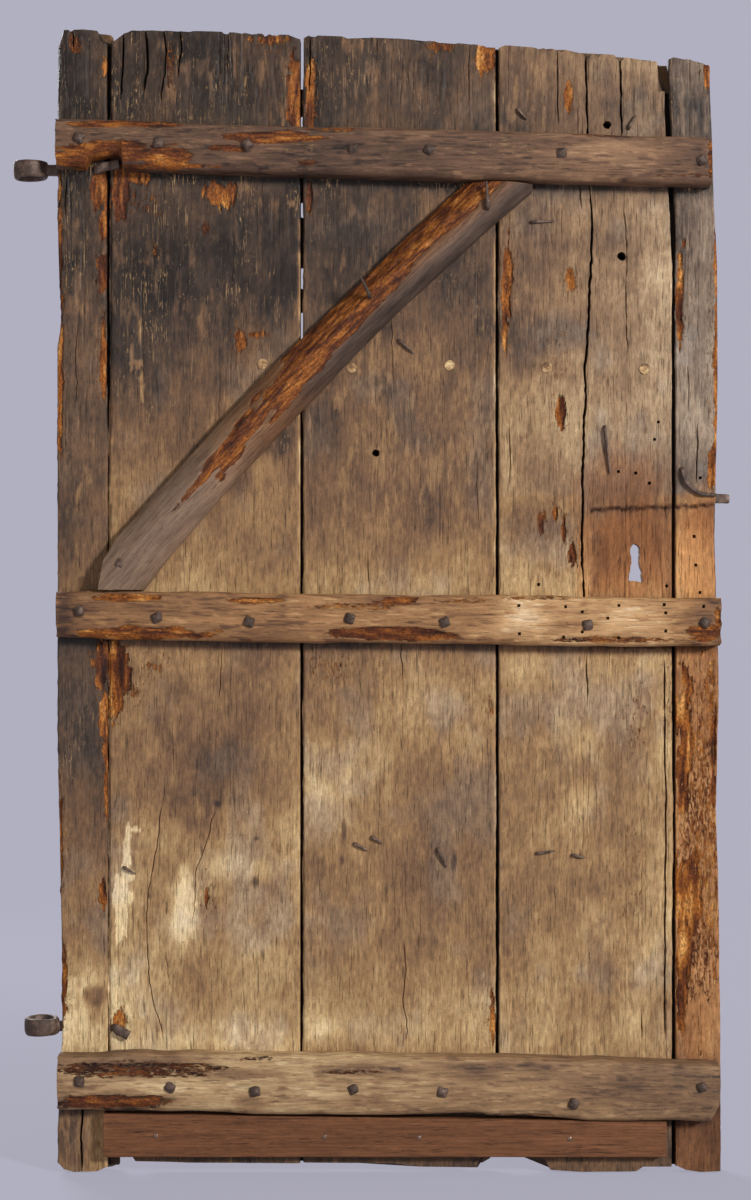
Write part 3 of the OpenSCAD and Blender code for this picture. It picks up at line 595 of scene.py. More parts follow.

# How each upright has weathered. tone: height, darkness at its hinge side and at its lock side, from 0
# black to 1 cream. raw: torn patches. spots: soft lighter or darker stains. splits: share of the width and
# height along each one, width, depth. grey: share of bleached grey at each side, on the lock stile partly a
# painted sheen. rim: pale wear along each edge, partly a painted highlight where the rounded edge faces the
# light. fresh: cleaner red-brown wood, where the lost lock was and low on the lock stile. pale: flakes and
# scars. shrunk: width that each edge has lost high up. Patches are their middle, width, height and strength.
UPRIGHTS = {
    "hanging_stile": {
        "seed": 100,
        "slot": "stile_wood",
        "tone": [
            (1440, 0.07, 0.08), (1230, 0.02, 0.10), (1120, 0.21, 0.29), (820, 0.26, 0.38),
            (700, 0.38, 0.42), (550, 0.23, 0.20), (350, 0.34, 0.30), (180, 0.50, 0.48), (110, 0.66, 0.62),
            (60, 0.94, 0.84), (0, 1.0, 0.94), (-120, 0.45, 0.75), (-217, 0.42, 0.66),
        ],
        "raw": [
            (90, 1256, 26, 70, 1), (93, 1200, 14, 60, 1), (92, 1130, 18, 64, 1), (94, 1005, 9, 140, 0.9),
            (90, 540, 26, 84, 1), (96, 465, 15, 120, 1), (99, 380, 8, 130, 0.8), (93, 200, 12, 40, 0.9),
            (28, 1060, 10, 420, 0.8), (32, 60, 14, 150, 0.8), (28, 270, 10, 150, 0.8),
            (96, 1440, 10, 40, 0.8), (50, 1474, 20, 30, 0.6),
        ],
        "spots": [
            (82, 48, 44, 30, -0.4), (84, 22, 26, 40, -0.2), (52, -170, 40, 100, -0.15),
            (66, 330, 30, 200, 0.06),
        ],
        "splits": [
            ([(0.50, -100), (0.46, -217)], 3.0, 14), ([(0.16, 1282), (0.14, 1215)], 1.6, 4),
            ([(0.36, 1060), (0.35, 930)], 1.4, 3), ([(0.24, 1500), (0.26, 1468)], 2.2, 9),
        ],
        "grey": (0.1, 0.05),
        "rim": (0.0, 0.0),
        "fresh": [],
        "pale": [],
        "shrunk": (0.0, 1.6),
    },
    "hinge_board": {
        "seed": 200,
        "slot": "board_wood",
        "tone": [
            (1440, 0.11, 0.12), (1300, 0.26, 0.22), (1120, 0.12, 0.04), (1000, 0.16, 0.46), (900, 0.38, 0.52),
            (800, 0.60, 0.46), (620, 0.62, 0.52), (470, 0.54, 0.54), (380, 0.44, 0.54), (290, 0.66, 0.72),
            (170, 0.73, 0.62), (50, 0.90, 0.63), (-20, 0.94, 0.76), (-130, 0.45, 0.45), (-217, 0.26, 0.26),
        ],
        "raw": [
            (379, 1402, 22, 110, 1), (118, 1255, 46, 80, 1), (135, 1277, 50, 24, 1),
            (268, 1252, 48, 38, 0.9), (150, 1230, 60, 50, 0.42), (246, 1199, 9, 14, 0.8),
            (170, 1165, 6, 18, 0.8), (300, 1030, 17, 30, 0.9), (325, 1040, 34, 7, 0.8),
            (115, 548, 36, 74, 1), (110, 495, 20, 70, 1), (168, 540, 40, 20, 0.5), (140, 502, 22, 18, 0.5),
            (249, 200, 10, 48, 0.8), (116, 8, 22, 34, 0.7), (345, 1482, 60, 16, 0.6),
            (192, 1440, 12, 70, 0.5),
        ],
        "spots": [
            (270, 440, 200, 220, -0.16), (230, 330, 120, 90, -0.10), (300, 240, 130, 40, 0.16),
            (217, 180, 50, 130, 0.36), (225, 45, 90, 100, -0.14), (122, 60, 60, 130, 0.12),
            (352, 885, 60, 70, -0.24), (290, 822, 60, 60, -0.24), (345, 1065, 60, 70, -0.08),
            (300, 230, 120, 110, 0.08), (210, 1230, 130, 90, 0.08), (250, 1090, 50, 200, 0.08),
            (330, 960, 80, 100, 0.08), (323, 284, 10, 9, -0.4), (321, 218, 10, 16, -0.4),
            (265, 335, 14, 14, -0.3), (163, 197, 8, 8, -0.35), (340, 1270, 90, 40, 0.14),
            (200, 830, 120, 60, 0.06), (150, 590, 120, 40, 0.08),
        ],
        "splits": [
            ([(0.06, 1500), (0.05, 1392)], 2.6, 9), ([(0.155, 1500), (0.17, 1440), (0.15, 1398)], 3.0, 10),
            ([(0.235, 1500), (0.25, 1430), (0.235, 1386)], 2.6, 8),
            ([(0.335, 1500), (0.34, 1465), (0.32, 1425)], 3.0, 9), ([(0.55, 1500), (0.548, 1440)], 2.0, 6),
            ([(0.30, 335), (0.22, 171), (0.22, 68), (0.29, -22)], 1.6, 4.5),
            ([(0.57, 335), (0.53, 286), (0.47, 233), (0.445, 151)], 1.4, 3.5),
            ([(0.53, 575), (0.515, 490)], 1.4, 3.5), ([(0.34, 122), (0.365, 56)], 1.3, 3),
            ([(0.62, 1215), (0.61, 1100)], 1.2, 2.5),
        ],
        "grey": (0.0, 0.0),
        "rim": (0.05, 0.6),
        "fresh": [],
        "shrunk": (2.0, 0.0),
        "pale": [
            (129, 266, 12, 64, 1), (121, 182, 22, 110, 1), (136, 228, 12, 16, 1), (135, 196, 9, 18, 1),
            (140, 297, 20, 5, 1), (149, 1046, 5, 52, 0.9), (137, 1004, 6, 44, 0.9), (144, 996, 20, 14, 0.8),
            (152, 962, 6, 48, 0.9), (377, 1235, 14, 10, 0.8),
        ],
    },
    "middle_board": {
        "seed": 300,
        "slot": "board_wood",
        "tone": [
            (1440, 0.15, 0.28), (1300, 0.11, 0.38), (1120, 0.18, 0.20), (1000, 0.34, 0.28), (900, 0.32, 0.46),
            (780, 0.46, 0.44), (690, 0.56, 0.60), (530, 0.58, 0.63), (430, 0.60, 0.59), (350, 0.72, 0.45),
            (240, 0.56, 0.54), (100, 0.60, 0.56), (0, 0.77, 0.75), (-130, 0.40, 0.40), (-217, 0.26, 0.26),
        ],
        "raw": [
            (404, 1402, 16, 110, 1), (668, 1452, 36, 40, 0.9), (600, 1474, 40, 20, 0.6),
            (435, 540, 60, 40, 0.42), (678, 7, 9, 90, 0.7), (402, 1240, 9, 50, 0.7), (676, 480, 8, 60, 0.5),
        ],
        "spots": [
            (470, 1270, 100, 40, 0.14), (560, 120, 120, 260, -0.05), (445, 340, 90, 110, 0.1),
            (410, 470, 40, 90, -0.1), (600, 1210, 90, 90, 0.12), (620, 780, 130, 110, -0.06),
            (500, 1400, 24, 90, 0.12), (640, 1400, 60, 90, 0.1), (455, 295, 8, 40, -0.35),
            (620, 250, 10, 40, -0.35), (560, 480, 120, 90, 0.08), (500, 640, 200, 40, 0.06),
            (505, 390, 120, 100, 0.12), (402, 0, 60, 60, 0.14), (452, 250, 9, 14, -0.3),
            (560, 1000, 120, 90, 0.06), (460, 1060, 60, 120, 0.08),
        ],
        "splits": [
            ([(0.33, 712), (0.335, 650)], 2.0, 4), ([(0.52, 130), (0.515, 30), (0.53, -24)], 1.6, 4.5),
            ([(0.035, 1490), (0.03, 1400)], 2.2, 7), ([(0.38, 1490), (0.385, 1462)], 1.8, 5),
            ([(0.86, 1480), (0.865, 1390)], 1.4, 3), ([(0.51, 580), (0.515, 515)], 1.6, 4),
            ([(0.90, 860), (0.905, 760)], 1.2, 2.5), ([(0.46, 1080), (0.47, 960)], 1.2, 2.5),
        ],
        "grey": (0.0, 0.06),
        "rim": (0.15, 0.4),
        "fresh": [],
        "pale": [],
        "shrunk": (0.0, 0.0),
    },
    "lock_board": {
        "seed": 400,
        "slot": "board_wood",
        "tone": [
            (1440, 0.40, 0.76), (1370, 0.22, 0.44), (1230, 0.38, 0.68), (1120, 0.34, 0.80),
            (1040, 0.28, 0.74), (960, 0.58, 0.78), (890, 0.70, 0.74), (810, 0.58, 0.38), (690, 0.60, 0.52),
            (530, 0.70, 0.72), (430, 0.60, 0.71), (150, 0.58, 0.70), (0, 0.72, 0.68), (-130, 0.40, 0.40),
            (-217, 0.28, 0.28),
        ],
        "raw": [
            (700, 1115, 14, 120, 1), (696, 1050, 8, 70, 0.8), (780, 923, 14, 44, 1), (750, 759, 15, 42, 1),
            (772, 771, 9, 28, 1), (785, 745, 9, 50, 1), (797, 710, 14, 34, 0.8), (795, 1121, 12, 34, 0.7),
            (792, 1397, 11, 44, 0.9), (776, 1010, 30, 60, 0.36), (942, 500, 8, 130, 0.4),
            (892, 470, 20, 150, 0.38), (885, 230, 14, 160, 0.3),
        ],
        "spots": [
            (740, 1180, 70, 150, -0.10), (730, 1040, 70, 120, -0.08), (905, 1362, 50, 60, 0.16),
            (700, 840, 16, 160, 0.1), (790, 200, 110, 160, -0.05), (740, 760, 110, 80, -0.06),
            (885, 210, 60, 320, -0.10), (785, 370, 70, 90, -0.10), (850, 300, 50, 420, -0.08),
            (850, 90, 60, 130, -0.10), (820, 1177, 120, 50, -0.10), (720, 1000, 40, 60, -0.10),
            (785, 770, 60, 60, 0.08), (925, 765, 30, 50, 0.10), (735, 980, 60, 80, 0.05),
            (935, 450, 30, 130, 0.12), (760, 1290, 130, 60, -0.06), (840, 700, 26, 110, -0.12),
            (905, 905, 30, 60, -0.12),
        ],
        "splits": [
            (
                [
                    (0.525, 1480), (0.53, 1368), (0.54, 1248), (0.525, 1118),
                    (0.51, 1028), (0.49, 928), (0.48, 808), (0.485, 640),
                ],
                3.4, 24,
            ),
            ([(0.735, 1480), (0.735, 1428), (0.74, 1366)], 3.2, 22), ([(0.35, 1480), (0.345, 1360)], 1.8, 5),
            ([(0.45, 1275), (0.455, 1235)], 2.4, 6), ([(0.73, 1275), (0.74, 1040)], 1.6, 4),
            ([(0.81, 20), (0.82, -26)], 2.0, 6), ([(0.53, 575), (0.535, 490)], 2.0, 5),
            ([(0.955, 560), (0.965, 300), (0.955, -20)], 2.4, 8), ([(0.06, 900), (0.065, 800)], 1.8, 4),
        ],
        "grey": (0.1, 0.3),
        "rim": (0.2, 0.2),
        "fresh": [
            (886, 712, 136, 170, 0.9), (870, 810, 130, 110, 0.5), (824, 690, 40, 190, 0.6),
            (940, 690, 30, 190, 0.7),
        ],
        "pale": [],
        "shrunk": (0.0, 0.0),
    },
    "lock_stile": {
        "seed": 500,
        "slot": "stile_wood",
        "tone": [
            # The paler tone from 870 to 1000 mm is partly a painted sheen of the light high on the lock
            # stile.
            (1440, 0.28, 0.50), (1380, 0.18, 0.10), (1230, 0.24, 0.62), (1120, 0.38, 0.50),
            (1000, 0.66, 0.76), (870, 0.58, 0.57), (815, 0.28, 0.58), (770, 0.66, 0.56), (700, 0.86, 0.74),
            (560, 0.70, 0.60), (470, 0.60, 0.58), (300, 0.74, 0.70), (0, 0.58, 0.60), (-130, 0.25, 0.24),
            (-217, 0.24, 0.22),
        ],
        "raw": [
            (958, 1085, 10, 130, 0.9), (965, 1175, 6, 18, 0.8), (1014, 1000, 9, 420, 0.9),
            (1006, 830, 16, 60, 0.8), (966, 440, 26, 200, 1), (968, 205, 40, 120, 1),
            (964, 115, 24, 100, 0.8), (962, 40, 16, 90, 0.8), (1002, 1433, 18, 40, 0.9),
            (988, 300, 80, 560, 0.5), (1008, 420, 12, 180, 0.7),
        ],
        "spots": [(975, 900, 50, 120, 0.06), (975, 1290, 50, 60, -0.1), (985, 480, 60, 120, -0.06)],
        "splits": [([(0.52, 911), (0.53, 815)], 2.0, 6), ([(0.3, 1000), (0.31, 920)], 1.5, 3)],
        # This grey is partly bleached wood and partly a painted sheen high on the lock stile.
        "grey": (0.6, 0.6),
        "rim": (0.1, 0.0),
        "fresh": [(986, 705, 90, 190, 1.0), (988, 270, 150, 800, 0.85), (988, -170, 150, 150, 0.7)],
        "pale": [],
        "shrunk": (0.0, 0.0),
    },
}

# Depths of the lost lock case's recess and of the groove on its top, of its empty nail holes and of the
# round holes, and how far a cutter stands out in front of a face
LOCK_CASE_D = 4.0
LOCK_LINE_D = 3.0
NAIL_HOLE_D = 16.0
ROUND_HOLE_D = 24.0
CUTTER_OUT = 20.0
# Depths y at which the front half and the rear half of an upright are read, what its readings keep clear of
# at its foot and at its crown, and how far the crown can fall before a line has gone down a split
FRONT_HALF_Y = -8.0
REAR_HALF_Y = 8.0
FOOT_CLEAR = 50.0
CROWN_CLEAR = 32.0
CROWN_FALL = 75.0
# Heights between which the shrunk edges set in, depth of the chips in a crown, and limits of the relief
SHRUNK_Z = (880.0, 980.0)
CROWN_CHIP = 7.0
RELIEF = (-0.9, 9.0)
# Depths of the lines down an upright's lock side, before and behind the step of its lip, and up its hinge
# side, behind and before the step of its rebate
LOCK_SIDE_Y = ((-9.0, -4.0, 0.5), (0.9, 8.0, REAR_Y - 1.5))
HINGE_SIDE_Y = ((REAR_Y - 1.5, 8.0, 0.0), (-0.4, -4.0, -9.0))
# Middle heights of the dust over the middle and the bottom ledge, the height from which the boards are
# bleached grey, the tint of that grey, and the darkness of the rear
MIDDLE_DUST_Z = 657.0
BOTTOM_DUST_Z = -26.0
GREY_FROM_Z = 800.0
GREY_TINT = (1.15, 0.97, 0.82)
REAR_TONE = 0.5


def prism(outline, front, back):
    """Points and faces of an upright outline in x and z carried straight from front to back along y."""
    ring = np.asarray(outline, float)
    rings = np.stack([np.insert(ring, 1, y, axis=1) for y in (front, back)])
    return tube(rings)


def keyhole_outline():
    """Outline of the keyhole: the rear corners of its CAD opening in order, spread evenly and roughened."""
    opening = next(o for o in frame["record"]["physics"]["openings"] if o["name"] == "keyhole")
    low, high = np.array(opening["box_m"]) / MM
    middle, reach = (low + high) / 2, high - low
    rear = np.concatenate(separate_solids("lock_board", REAR_Y))[:, [0, 2]]
    rear = rear[(np.abs(rear - middle[[0, 2]]) < 1.3 * reach[[0, 2]]).all(1)]
    ring = rear[np.argsort(np.arctan2(*(rear - middle[[0, 2]]).T[::-1]))]
    ring = np.concatenate([ring, ring[:1]])
    run = np.concatenate([[0.0], np.cumsum(np.hypot(*np.diff(ring, axis=0).T))])
    even = np.linspace(0.0, run[-1], 60, endpoint=False)
    outline = np.stack([np.interp(even, run, ring[:, c]) for c in range(2)], 1)
    return outline + 0.8 * np.stack([noise(even / 4, even * 0, 61), noise(even / 4, even * 0, 62)], 1)


def hole_cutter(node, front):
    """One mesh object with every hole of a piece, or None where it has none.

    The holes stand where the CAD solid has hole floors at their depth, with four sides or many.
    """
    parts = []
    for depth, sides in ((NAIL_HOLE_D, 4), (ROUND_HOLE_D, 28)):
        turn = 2 * math.pi * (np.arange(sides) + 0.5) / sides
        for spot in separate_solids(node, front + depth):
            middle = (spot.min(0) + spot.max(0)) / 2
            radius = np.ptp(spot[:, 0]) / 2 / math.cos(math.pi / sides)
            rim = radius * (1 + 0.1 * noise(turn * 2, turn * 0, int(middle[0])))
            outline = np.stack([middle[0] + rim * np.cos(turn), middle[2] + rim * np.sin(turn)], 1)
            parts.append(prism(outline, front - CUTTER_OUT, front + depth))
    if node == "lock_board":
        parts.append(prism(keyhole_outline(), 4 * FACE_Y, 4 * REAR_Y))
    return mesh_object("cutter", *joined(parts)) if parts else None


def upright_edges(node, heights):
    """Hinge-side and lock-side x of the front and the rear half of an upright at each height."""
    low, high = corners(node)
    reach = solid(node)
    inner = np.clip(heights, low[2] + FOOT_CLEAR, high[2] - CROWN_CLEAR)
    lines = {}
    for half, y in (("front", FRONT_HALF_Y), ("rear", REAR_HALF_Y)):
        left = filled(reach([(low[0] - LEAD, y, z) for z in inner], (1, 0, 0)))
        right = filled(reach([(high[0] + LEAD, y, z) for z in inner], (-1, 0, 0)))
        lines[half] = (left, right)
    lost = ease(*SHRUNK_Z, heights)
    shrunk = UPRIGHTS[node]["shrunk"]
    left, right = lines["front"]
    lines["front"] = (left + shrunk[0] * lost, right - shrunk[1] * lost)
    return lines


def upright_ends(node, columns):
    """Foot and crown height of an upright at each column, with the narrow splits bridged."""
    low, high = corners(node)
    reach = solid(node)
    crown = reach([(x, FRONT_HALF_Y, high[2] + LEAD) for x in columns], (0, 0, -1))
    foot = reach([(x, FRONT_HALF_Y, low[2] - LEAD) for x in columns], (0, 0, 1))
    crown[crown < high[2] - CROWN_FALL] = np.nan
    return filled(foot), filled(crown)


def column_shares(width, splits, step):
    """Shares of the width at which mesh columns stand: an even spread, and close ones round each split."""
    even = np.linspace(0.0, 1.0, max(int(width / step), 8))
    close = np.array([-3.6, -1.9, -0.5, 0.0, 0.5, 1.9, 3.6])
    near = [np.mean([share for share, _ in path]) + close * wide / 3 / width for path, wide, _ in splits]
    rims = np.array([0.4, 1.2, 2.4]) / width
    return np.unique(np.round(np.clip(np.concatenate([even, rims, 1 - rims, *near]), 0.0, 1.0), 5))


def split_shift(shares, heights, width, splits):
    """Sideways shift of the columns that makes one follow each split, and the depth cut along it.

    The shift dies away over 35 mm to each side. The depth is a V across the split that tapers to its ends.
    """
    shift = np.zeros((len(heights), len(shares)))
    depth = np.zeros_like(shift)
    for path, wide, deep in splits:
        way = np.array(sorted(((z, s) for s, z in path)), float)
        middle = np.mean(way[:, 1])
        away = (shares - middle) * width
        flat = heights * 0
        jag = noise(heights / 40, flat, int(deep * 7)) + 0.6 * noise(heights / 8, flat, int(deep * 9))
        along = np.interp(heights, way[:, 0], way[:, 1]) + jag / width
        lost = np.clip(np.minimum(heights - way[0, 0], way[-1, 0] - heights) / 22.0, 0.0, 1.0)
        present = np.where((heights > way[0, 0]) & (heights < way[-1, 0]), np.maximum(lost, 0.15), 0.0)
        shift += (along - middle)[:, None] * width * np.exp(-((away / 35.0) ** 2))[None, :]
        groove = np.clip(1 - np.abs(away) / (wide / 2), 0.0, 1.0) ** 0.6
        depth += deep * present[:, None] * groove[None, :]
    return shift, depth


@functools.lru_cache(maxsize=None)
def lock_case_corners():
    """Upper corners of the lost lock case's recess, at its hinge side and the lock edge, from its floor."""
    floor = [separate_solids(node, FACE_Y + LOCK_CASE_D) for node in ("lock_board", "lock_stile")]
    floor = np.concatenate(floor[0] + floor[1])
    left, peak = floor[:, 0].min(), floor[np.argmax(floor[:, 2])]
    return (left, floor[floor[:, 0] < left + 0.5][:, 2].max()), (peak[0], peak[2])


def lock_case(x, z, seed):
    """Share of the lost lock case's recess at each point, with a chipped rim, and of the line on its top."""
    (left, left_top), (right, right_top) = lock_case_corners()
    chip = 2.4 * fibres(x, z, 9.0, 12.0, seed, 3)
    above = np.interp(x, (left, right), (left_top, right_top)) - z + chip
    inside = ease(-1.5, 1.5, x - left + chip)
    shown = z > corners("middle_ledge")[0][2]
    return inside * ease(-1.2, 1.2, above) * shown, inside * np.exp(-((above / 2.2) ** 2))


def torn_share(x, z, spec):
    """Share of torn fibre on an upright: its raw patches with rims made ragged by coarse and fine noise."""
    seed = spec["seed"]
    rag = 0.55 * fibres(x, z, 15.0, 42.0, seed + 6) + 0.5 * fibres(x, z, 4.5, 13.0, seed + 12, 2)
    return ovals(x, z, spec["raw"], rag)


@functools.lru_cache(maxsize=None)
def ledge_foot(node):
    """Lower edge of a ledge: places along x and the height of the edge at each."""
    low, high = corners(node)
    x = np.linspace(low[0] + 3.0, high[0] - 3.0, 80)
    return x, filled(solid(node)([(a, FACE_Y - 6.0, low[2] - LEAD) for a in x], (0, 0, 1)))


def ledge_painted_shadow(x, z):
    """Share of the painted shadow on the uprights just under each ledge: exp(-(depth under it / 11)^2)."""
    below = [np.interp(x, *ledge_foot(node)) - z for node in ("top_ledge", "middle_ledge", "bottom_ledge")]
    return sum(np.exp(-((d / 11.0) ** 2)) * (d > -12.0) for d in below)


def ledge_dust(z):
    """Share of the pale dust on the uprights over the two lower ledges: exp(-(height / spread)^2)."""
    middle = np.exp(-(((z - MIDDLE_DUST_Z) / 26.0) ** 2)) * (z > MIDDLE_DUST_Z - 17.0)
    return middle + 0.6 * np.exp(-(((z - BOTTOM_DUST_Z) / 30.0) ** 2))


def upright_rings(node, spec):
    """Rings of an upright, one for each height, from foot to crown.

    A ring runs across the face, round the lock side with its lip, back across the rear and round the
    hinge side with its rebate. The face stands at its plane plus hollows, grain, furrows, splits and tears.
    """
    low, high = corners(node)
    seed = spec["seed"]
    share_v = np.linspace(0.0, 1.0, int((high[2] - low[2]) / size("row_step")))
    level = low[2] + share_v * (high[2] - low[2])
    lines = upright_edges(node, level)
    left, right = lines["front"]
    span = np.median(right) - np.median(left)
    shares = column_shares(span, spec["splits"], size("column_step"))
    columns = np.median(left) + shares * span
    foot, crown = upright_ends(node, np.clip(columns, np.median(left) + 2.0, np.median(right) - 2.0))
    crown = crown - CROWN_CHIP * np.clip(fibres(columns, columns * 0, 14.0, 9.0, seed + 13), 0.0, 1.0)
    z = foot[None, :] + share_v[:, None] * (crown - foot)[None, :]
    shift, depth = split_shift(shares, level, span, spec["splits"])
    x = left[:, None] + shares[None, :] * (right - left)[:, None] + shift
    rim = np.minimum(x - left[:, None], right[:, None] - x)
    worn = size("edge_round") * (1 + 0.7 * fibres(z, rim * 0, 40.0, 9.0, seed + 5, 2))
    bevel = worn - np.sqrt(np.clip(worn**2 - np.clip(worn - rim, 0.0, worn) ** 2, 0.0, None))
    torn = ease(0.4, 0.6, torn_share(x, z, spec))
    furrow = np.clip(1 - np.abs(fibres(x, z, 8.0, 150.0, seed + 7, 2)), 0.0, 1.0) ** 14
    patchy = fibres(x, z, 50.0, 160.0, seed + 8, 2) + np.interp(shares, (0, 1), spec["grey"])
    furrow = furrow * ease(0.0, 0.5, patchy)
    case, line = lock_case(x, z, seed) if spec["fresh"] else np.zeros((2, *x.shape))
    into = (
        size("hollow") * fibres(x, z, 70.0, 160.0, seed + 10, 2)
        + size("grain") * fibres(x, z, 3.6, 60.0, seed + 9)
        + size("furrow") * furrow
        + torn * (size("tear") + 1.3 * fibres(x, z, 4.6, 22.0, seed + 11))
        + LOCK_CASE_D * case
        + LOCK_LINE_D * line
    )
    face = np.stack([x, FACE_Y + np.clip(into, *RELIEF) + bevel + depth, z], -1)
    return np.concatenate([face, *side_rings(lines, face, crown, foot, share_v)], 1)


def side_rings(lines, face, crown, foot, share_v):
    """Points of each ring down the lock side, across the rear and up the hinge side."""
    (left, right), (rear_left, rear_right) = lines["front"], lines["rear"]
    rows = len(share_v)

    def upright_line(x, y, end):
        z = foot[end] + share_v * (crown[end] - foot[end])
        return np.stack([x, np.full(rows, y), z], -1)

    lip = np.maximum(rear_right, right + 0.3)
    rebate = np.maximum(rear_left, left + 0.3)
    lock_side = [upright_line(right, y, -1) for y in LOCK_SIDE_Y[0]]
    lock_side += [upright_line(lip, y, -1) for y in LOCK_SIDE_Y[1]]
    hinge_side = [upright_line(rebate, y, 0) for y in HINGE_SIDE_Y[0]]
    hinge_side += [upright_line(left, y, 0) for y in HINGE_SIDE_Y[1]]
    pick = np.linspace(face.shape[1] - 1, 0, 26).astype(int)
    across = np.linspace(1.0, 0.0, len(pick))
    rear_x = rebate[:, None] + across[None, :] * (lip - rebate)[:, None]
    rear_x += np.array([-1.5] + [0.0] * (len(pick) - 2) + [1.5])[None, :]
    rear_z = face[:, pick, 2]
    rear_y = REAR_Y - 0.5 + 0.5 * fibres(rear_x, rear_z, 30.0, 160.0, 77, 2)
    rear = np.stack([rear_x, rear_y, rear_z], -1)
    return [np.stack(lock_side, 1), rear, np.stack(hinge_side, 1)]


def upright_tone(x, z, sides, rear, spec):
    """Darkness of an upright's patina, from 0 black to 1 cream.

    It is read from the height table and moved by clouds, streaks, stains, dust, flaked patina, pale rims
    that are partly a painted highlight, pale flakes and a painted shadow under the ledges. The rear is even,
    with long streaks.
    """
    left, right = sides
    seed = spec["seed"]
    table = np.array(sorted(spec["tone"]), float)
    share = np.clip((x - left) / (right - left), 0.0, 1.0)
    hinge_tone, lock_tone = [np.interp(z, table[:, 0], table[:, c]) for c in (1, 2)]
    tone = hinge_tone * (1 - share) + lock_tone * share
    tone = tone * (1 - rear) + REAR_TONE * rear
    grain = x + 10.0 * fibres(x, z, 90.0, 320.0, seed + 19, 2)
    mottle = 0.14 * fibres(x, z, 80.0, 110.0, seed + 20, 4) + 0.14 * fibres(x, z, 34.0, 42.0, seed + 21, 5)
    tone = tone + mottle * (1 - 0.65 * rear) + 0.2 * rear * fibres(grain, z, 26.0, 340.0, seed + 34, 3)
    tone = tone + 0.06 * fibres(grain, z, 5.0, 70.0, seed + 22, 2)
    tone = tone + 0.09 * fibres(x, z, 5.0, 8.0, seed + 26, 2)
    tone = tone + stains(x, z, spec["spots"], 0.4 * fibres(x, z, 14.0, 30.0, seed + 23)) * (1 - rear)
    tone = tone + 0.1 * ledge_dust(z) * (1 - rear)
    dark = 1 - ease(0.3, 0.62, tone)
    flaked = ease(0.2, 0.4, fibres(grain, z, 9.0, 36.0, seed + 24, 5))
    flaked = flaked * ease(-0.1, 0.35, fibres(x, z, 120.0, 160.0, seed + 25, 2))
    # Pale rims: worn edges, and partly a painted highlight where a rounded edge faces the light.
    rims = [np.exp(-((away / 4) ** 2)) for away in (x - left, right - x)]
    edges = spec["rim"][0] * rims[0] + spec["rim"][1] * rims[1]
    tone = tone + dark * (0.2 * flaked + edges * ease(-0.4, 0.2, fibres(z, x * 0, 60.0, 9.0, seed + 30)))
    tone = tone - 0.10 * (1 - dark) * ease(0.3, 0.5, fibres(grain, z, 4.0, 16.0, seed + 27))
    flakes = ovals(x, z, spec["pale"], 0.5 * fibres(x, z, 6.0, 16.0, seed + 32))
    # Painted shadow: a dark band on the boards just under each ledge, where the ledge shades them.
    return tone + (0.36 * ease(0.4, 0.55, flakes) - 0.34 * ledge_painted_shadow(x, z)) * (1 - rear)


def upright_paint(points, spec, node):
    """Patina, polish, bare wood and torn share of an upright's points.

    Deeper points are darker, a painted shade in the joints, splits and holes, and the patina is bleached
    grey high up. Cleaner wood shows where the lost lock was.
    """
    x, y, z = points.T
    seed = spec["seed"]
    left, right = [np.median(line) for line in upright_edges(node, np.linspace(0.0, 1200.0, 7))["front"]]
    rear = ease(REAR_Y - 6.0, REAR_Y - 2.0, y)
    # Painted shade: the deeper a point lies behind the face, the darker its patina and bare wood.
    sunk_shade = ease(3.0, 9.0, y - FACE_Y) * (1 - rear)
    # Painted shadow: the groove along the top of the lost lock case's recess is darkened as if its rim shades
    # it.
    line = lock_case(x, z, seed)[1] * (1 - rear) if spec["fresh"] else 0.0
    tone = upright_tone(x, z, (left, right), rear, spec)
    tone = np.clip(tone - 0.6 * sunk_shade - 0.45 * line, 0.02, 1.0)
    clouds = 0.3 * ease(0.0, 0.5, fibres(x, z, 60.0, 80.0, seed + 33, 4))
    grey = np.interp(x, (left, right), spec["grey"]) * (z > GREY_FROM_Z) + clouds
    colour = greyed(shade(stops(*OAK), tone), GREY_TINT, np.clip(grey, 0.0, 1.0) * (1 - rear))
    clean = ovals(x, z, spec["fresh"], 0.25 * fibres(x, z, 12.0, 30.0, seed + 31)) * (1 - rear)
    colour = mix(colour, shade(stops(*FRESH), tone), clean)
    crumbs = ovals(x, z, [(*patch[:2], patch[2] + 34, patch[3] + 60, 0.34) for patch in spec["raw"]], 0.0)
    torn = np.maximum(torn_share(x, z, spec), crumbs) * (1 - rear)
    raw_tone = 0.50 + 0.5 * fibres(x, z, 4.0, 26.0, seed + 28) + 0.4 * fibres(x, z, 24.0, 60.0, seed + 29, 2)
    polish = np.clip(1.1 - 1.8 * tone, 0.0, 1.0) * (1 - sunk_shade) * (1 - clean)
    return colour, polish, shade(stops(*RAW), np.clip(raw_tone - 0.4 * sunk_shade, 0, 1)), torn * (1 - 0.5 * sunk_shade)


def build_upright(node, material):
    """Builds one upright, cuts its holes and paints it."""
    spec = UPRIGHTS[node]
    made = mesh_object(f"{node}_wood", *tube(upright_rings(node, spec)))
    cutter = hole_cutter(node, FACE_Y)
    if cutter:
        cut(made, cutter)
    paint_wood(made, *upright_paint(vertices(made), spec, node))
    return settle(made, node, material)


# Ledges and the foot board

LEDGE = ("ledge_black", "ledge_char", "ledge_brown", "ledge_tan", "ledge_pale", "ledge_cream")
PLANED = ("plane_dark", "plane_mid", "plane_pale")

# Tint of the bleached grey of the level pieces
LEVEL_GREY_TINT = (1.1, 0.98, 0.9)

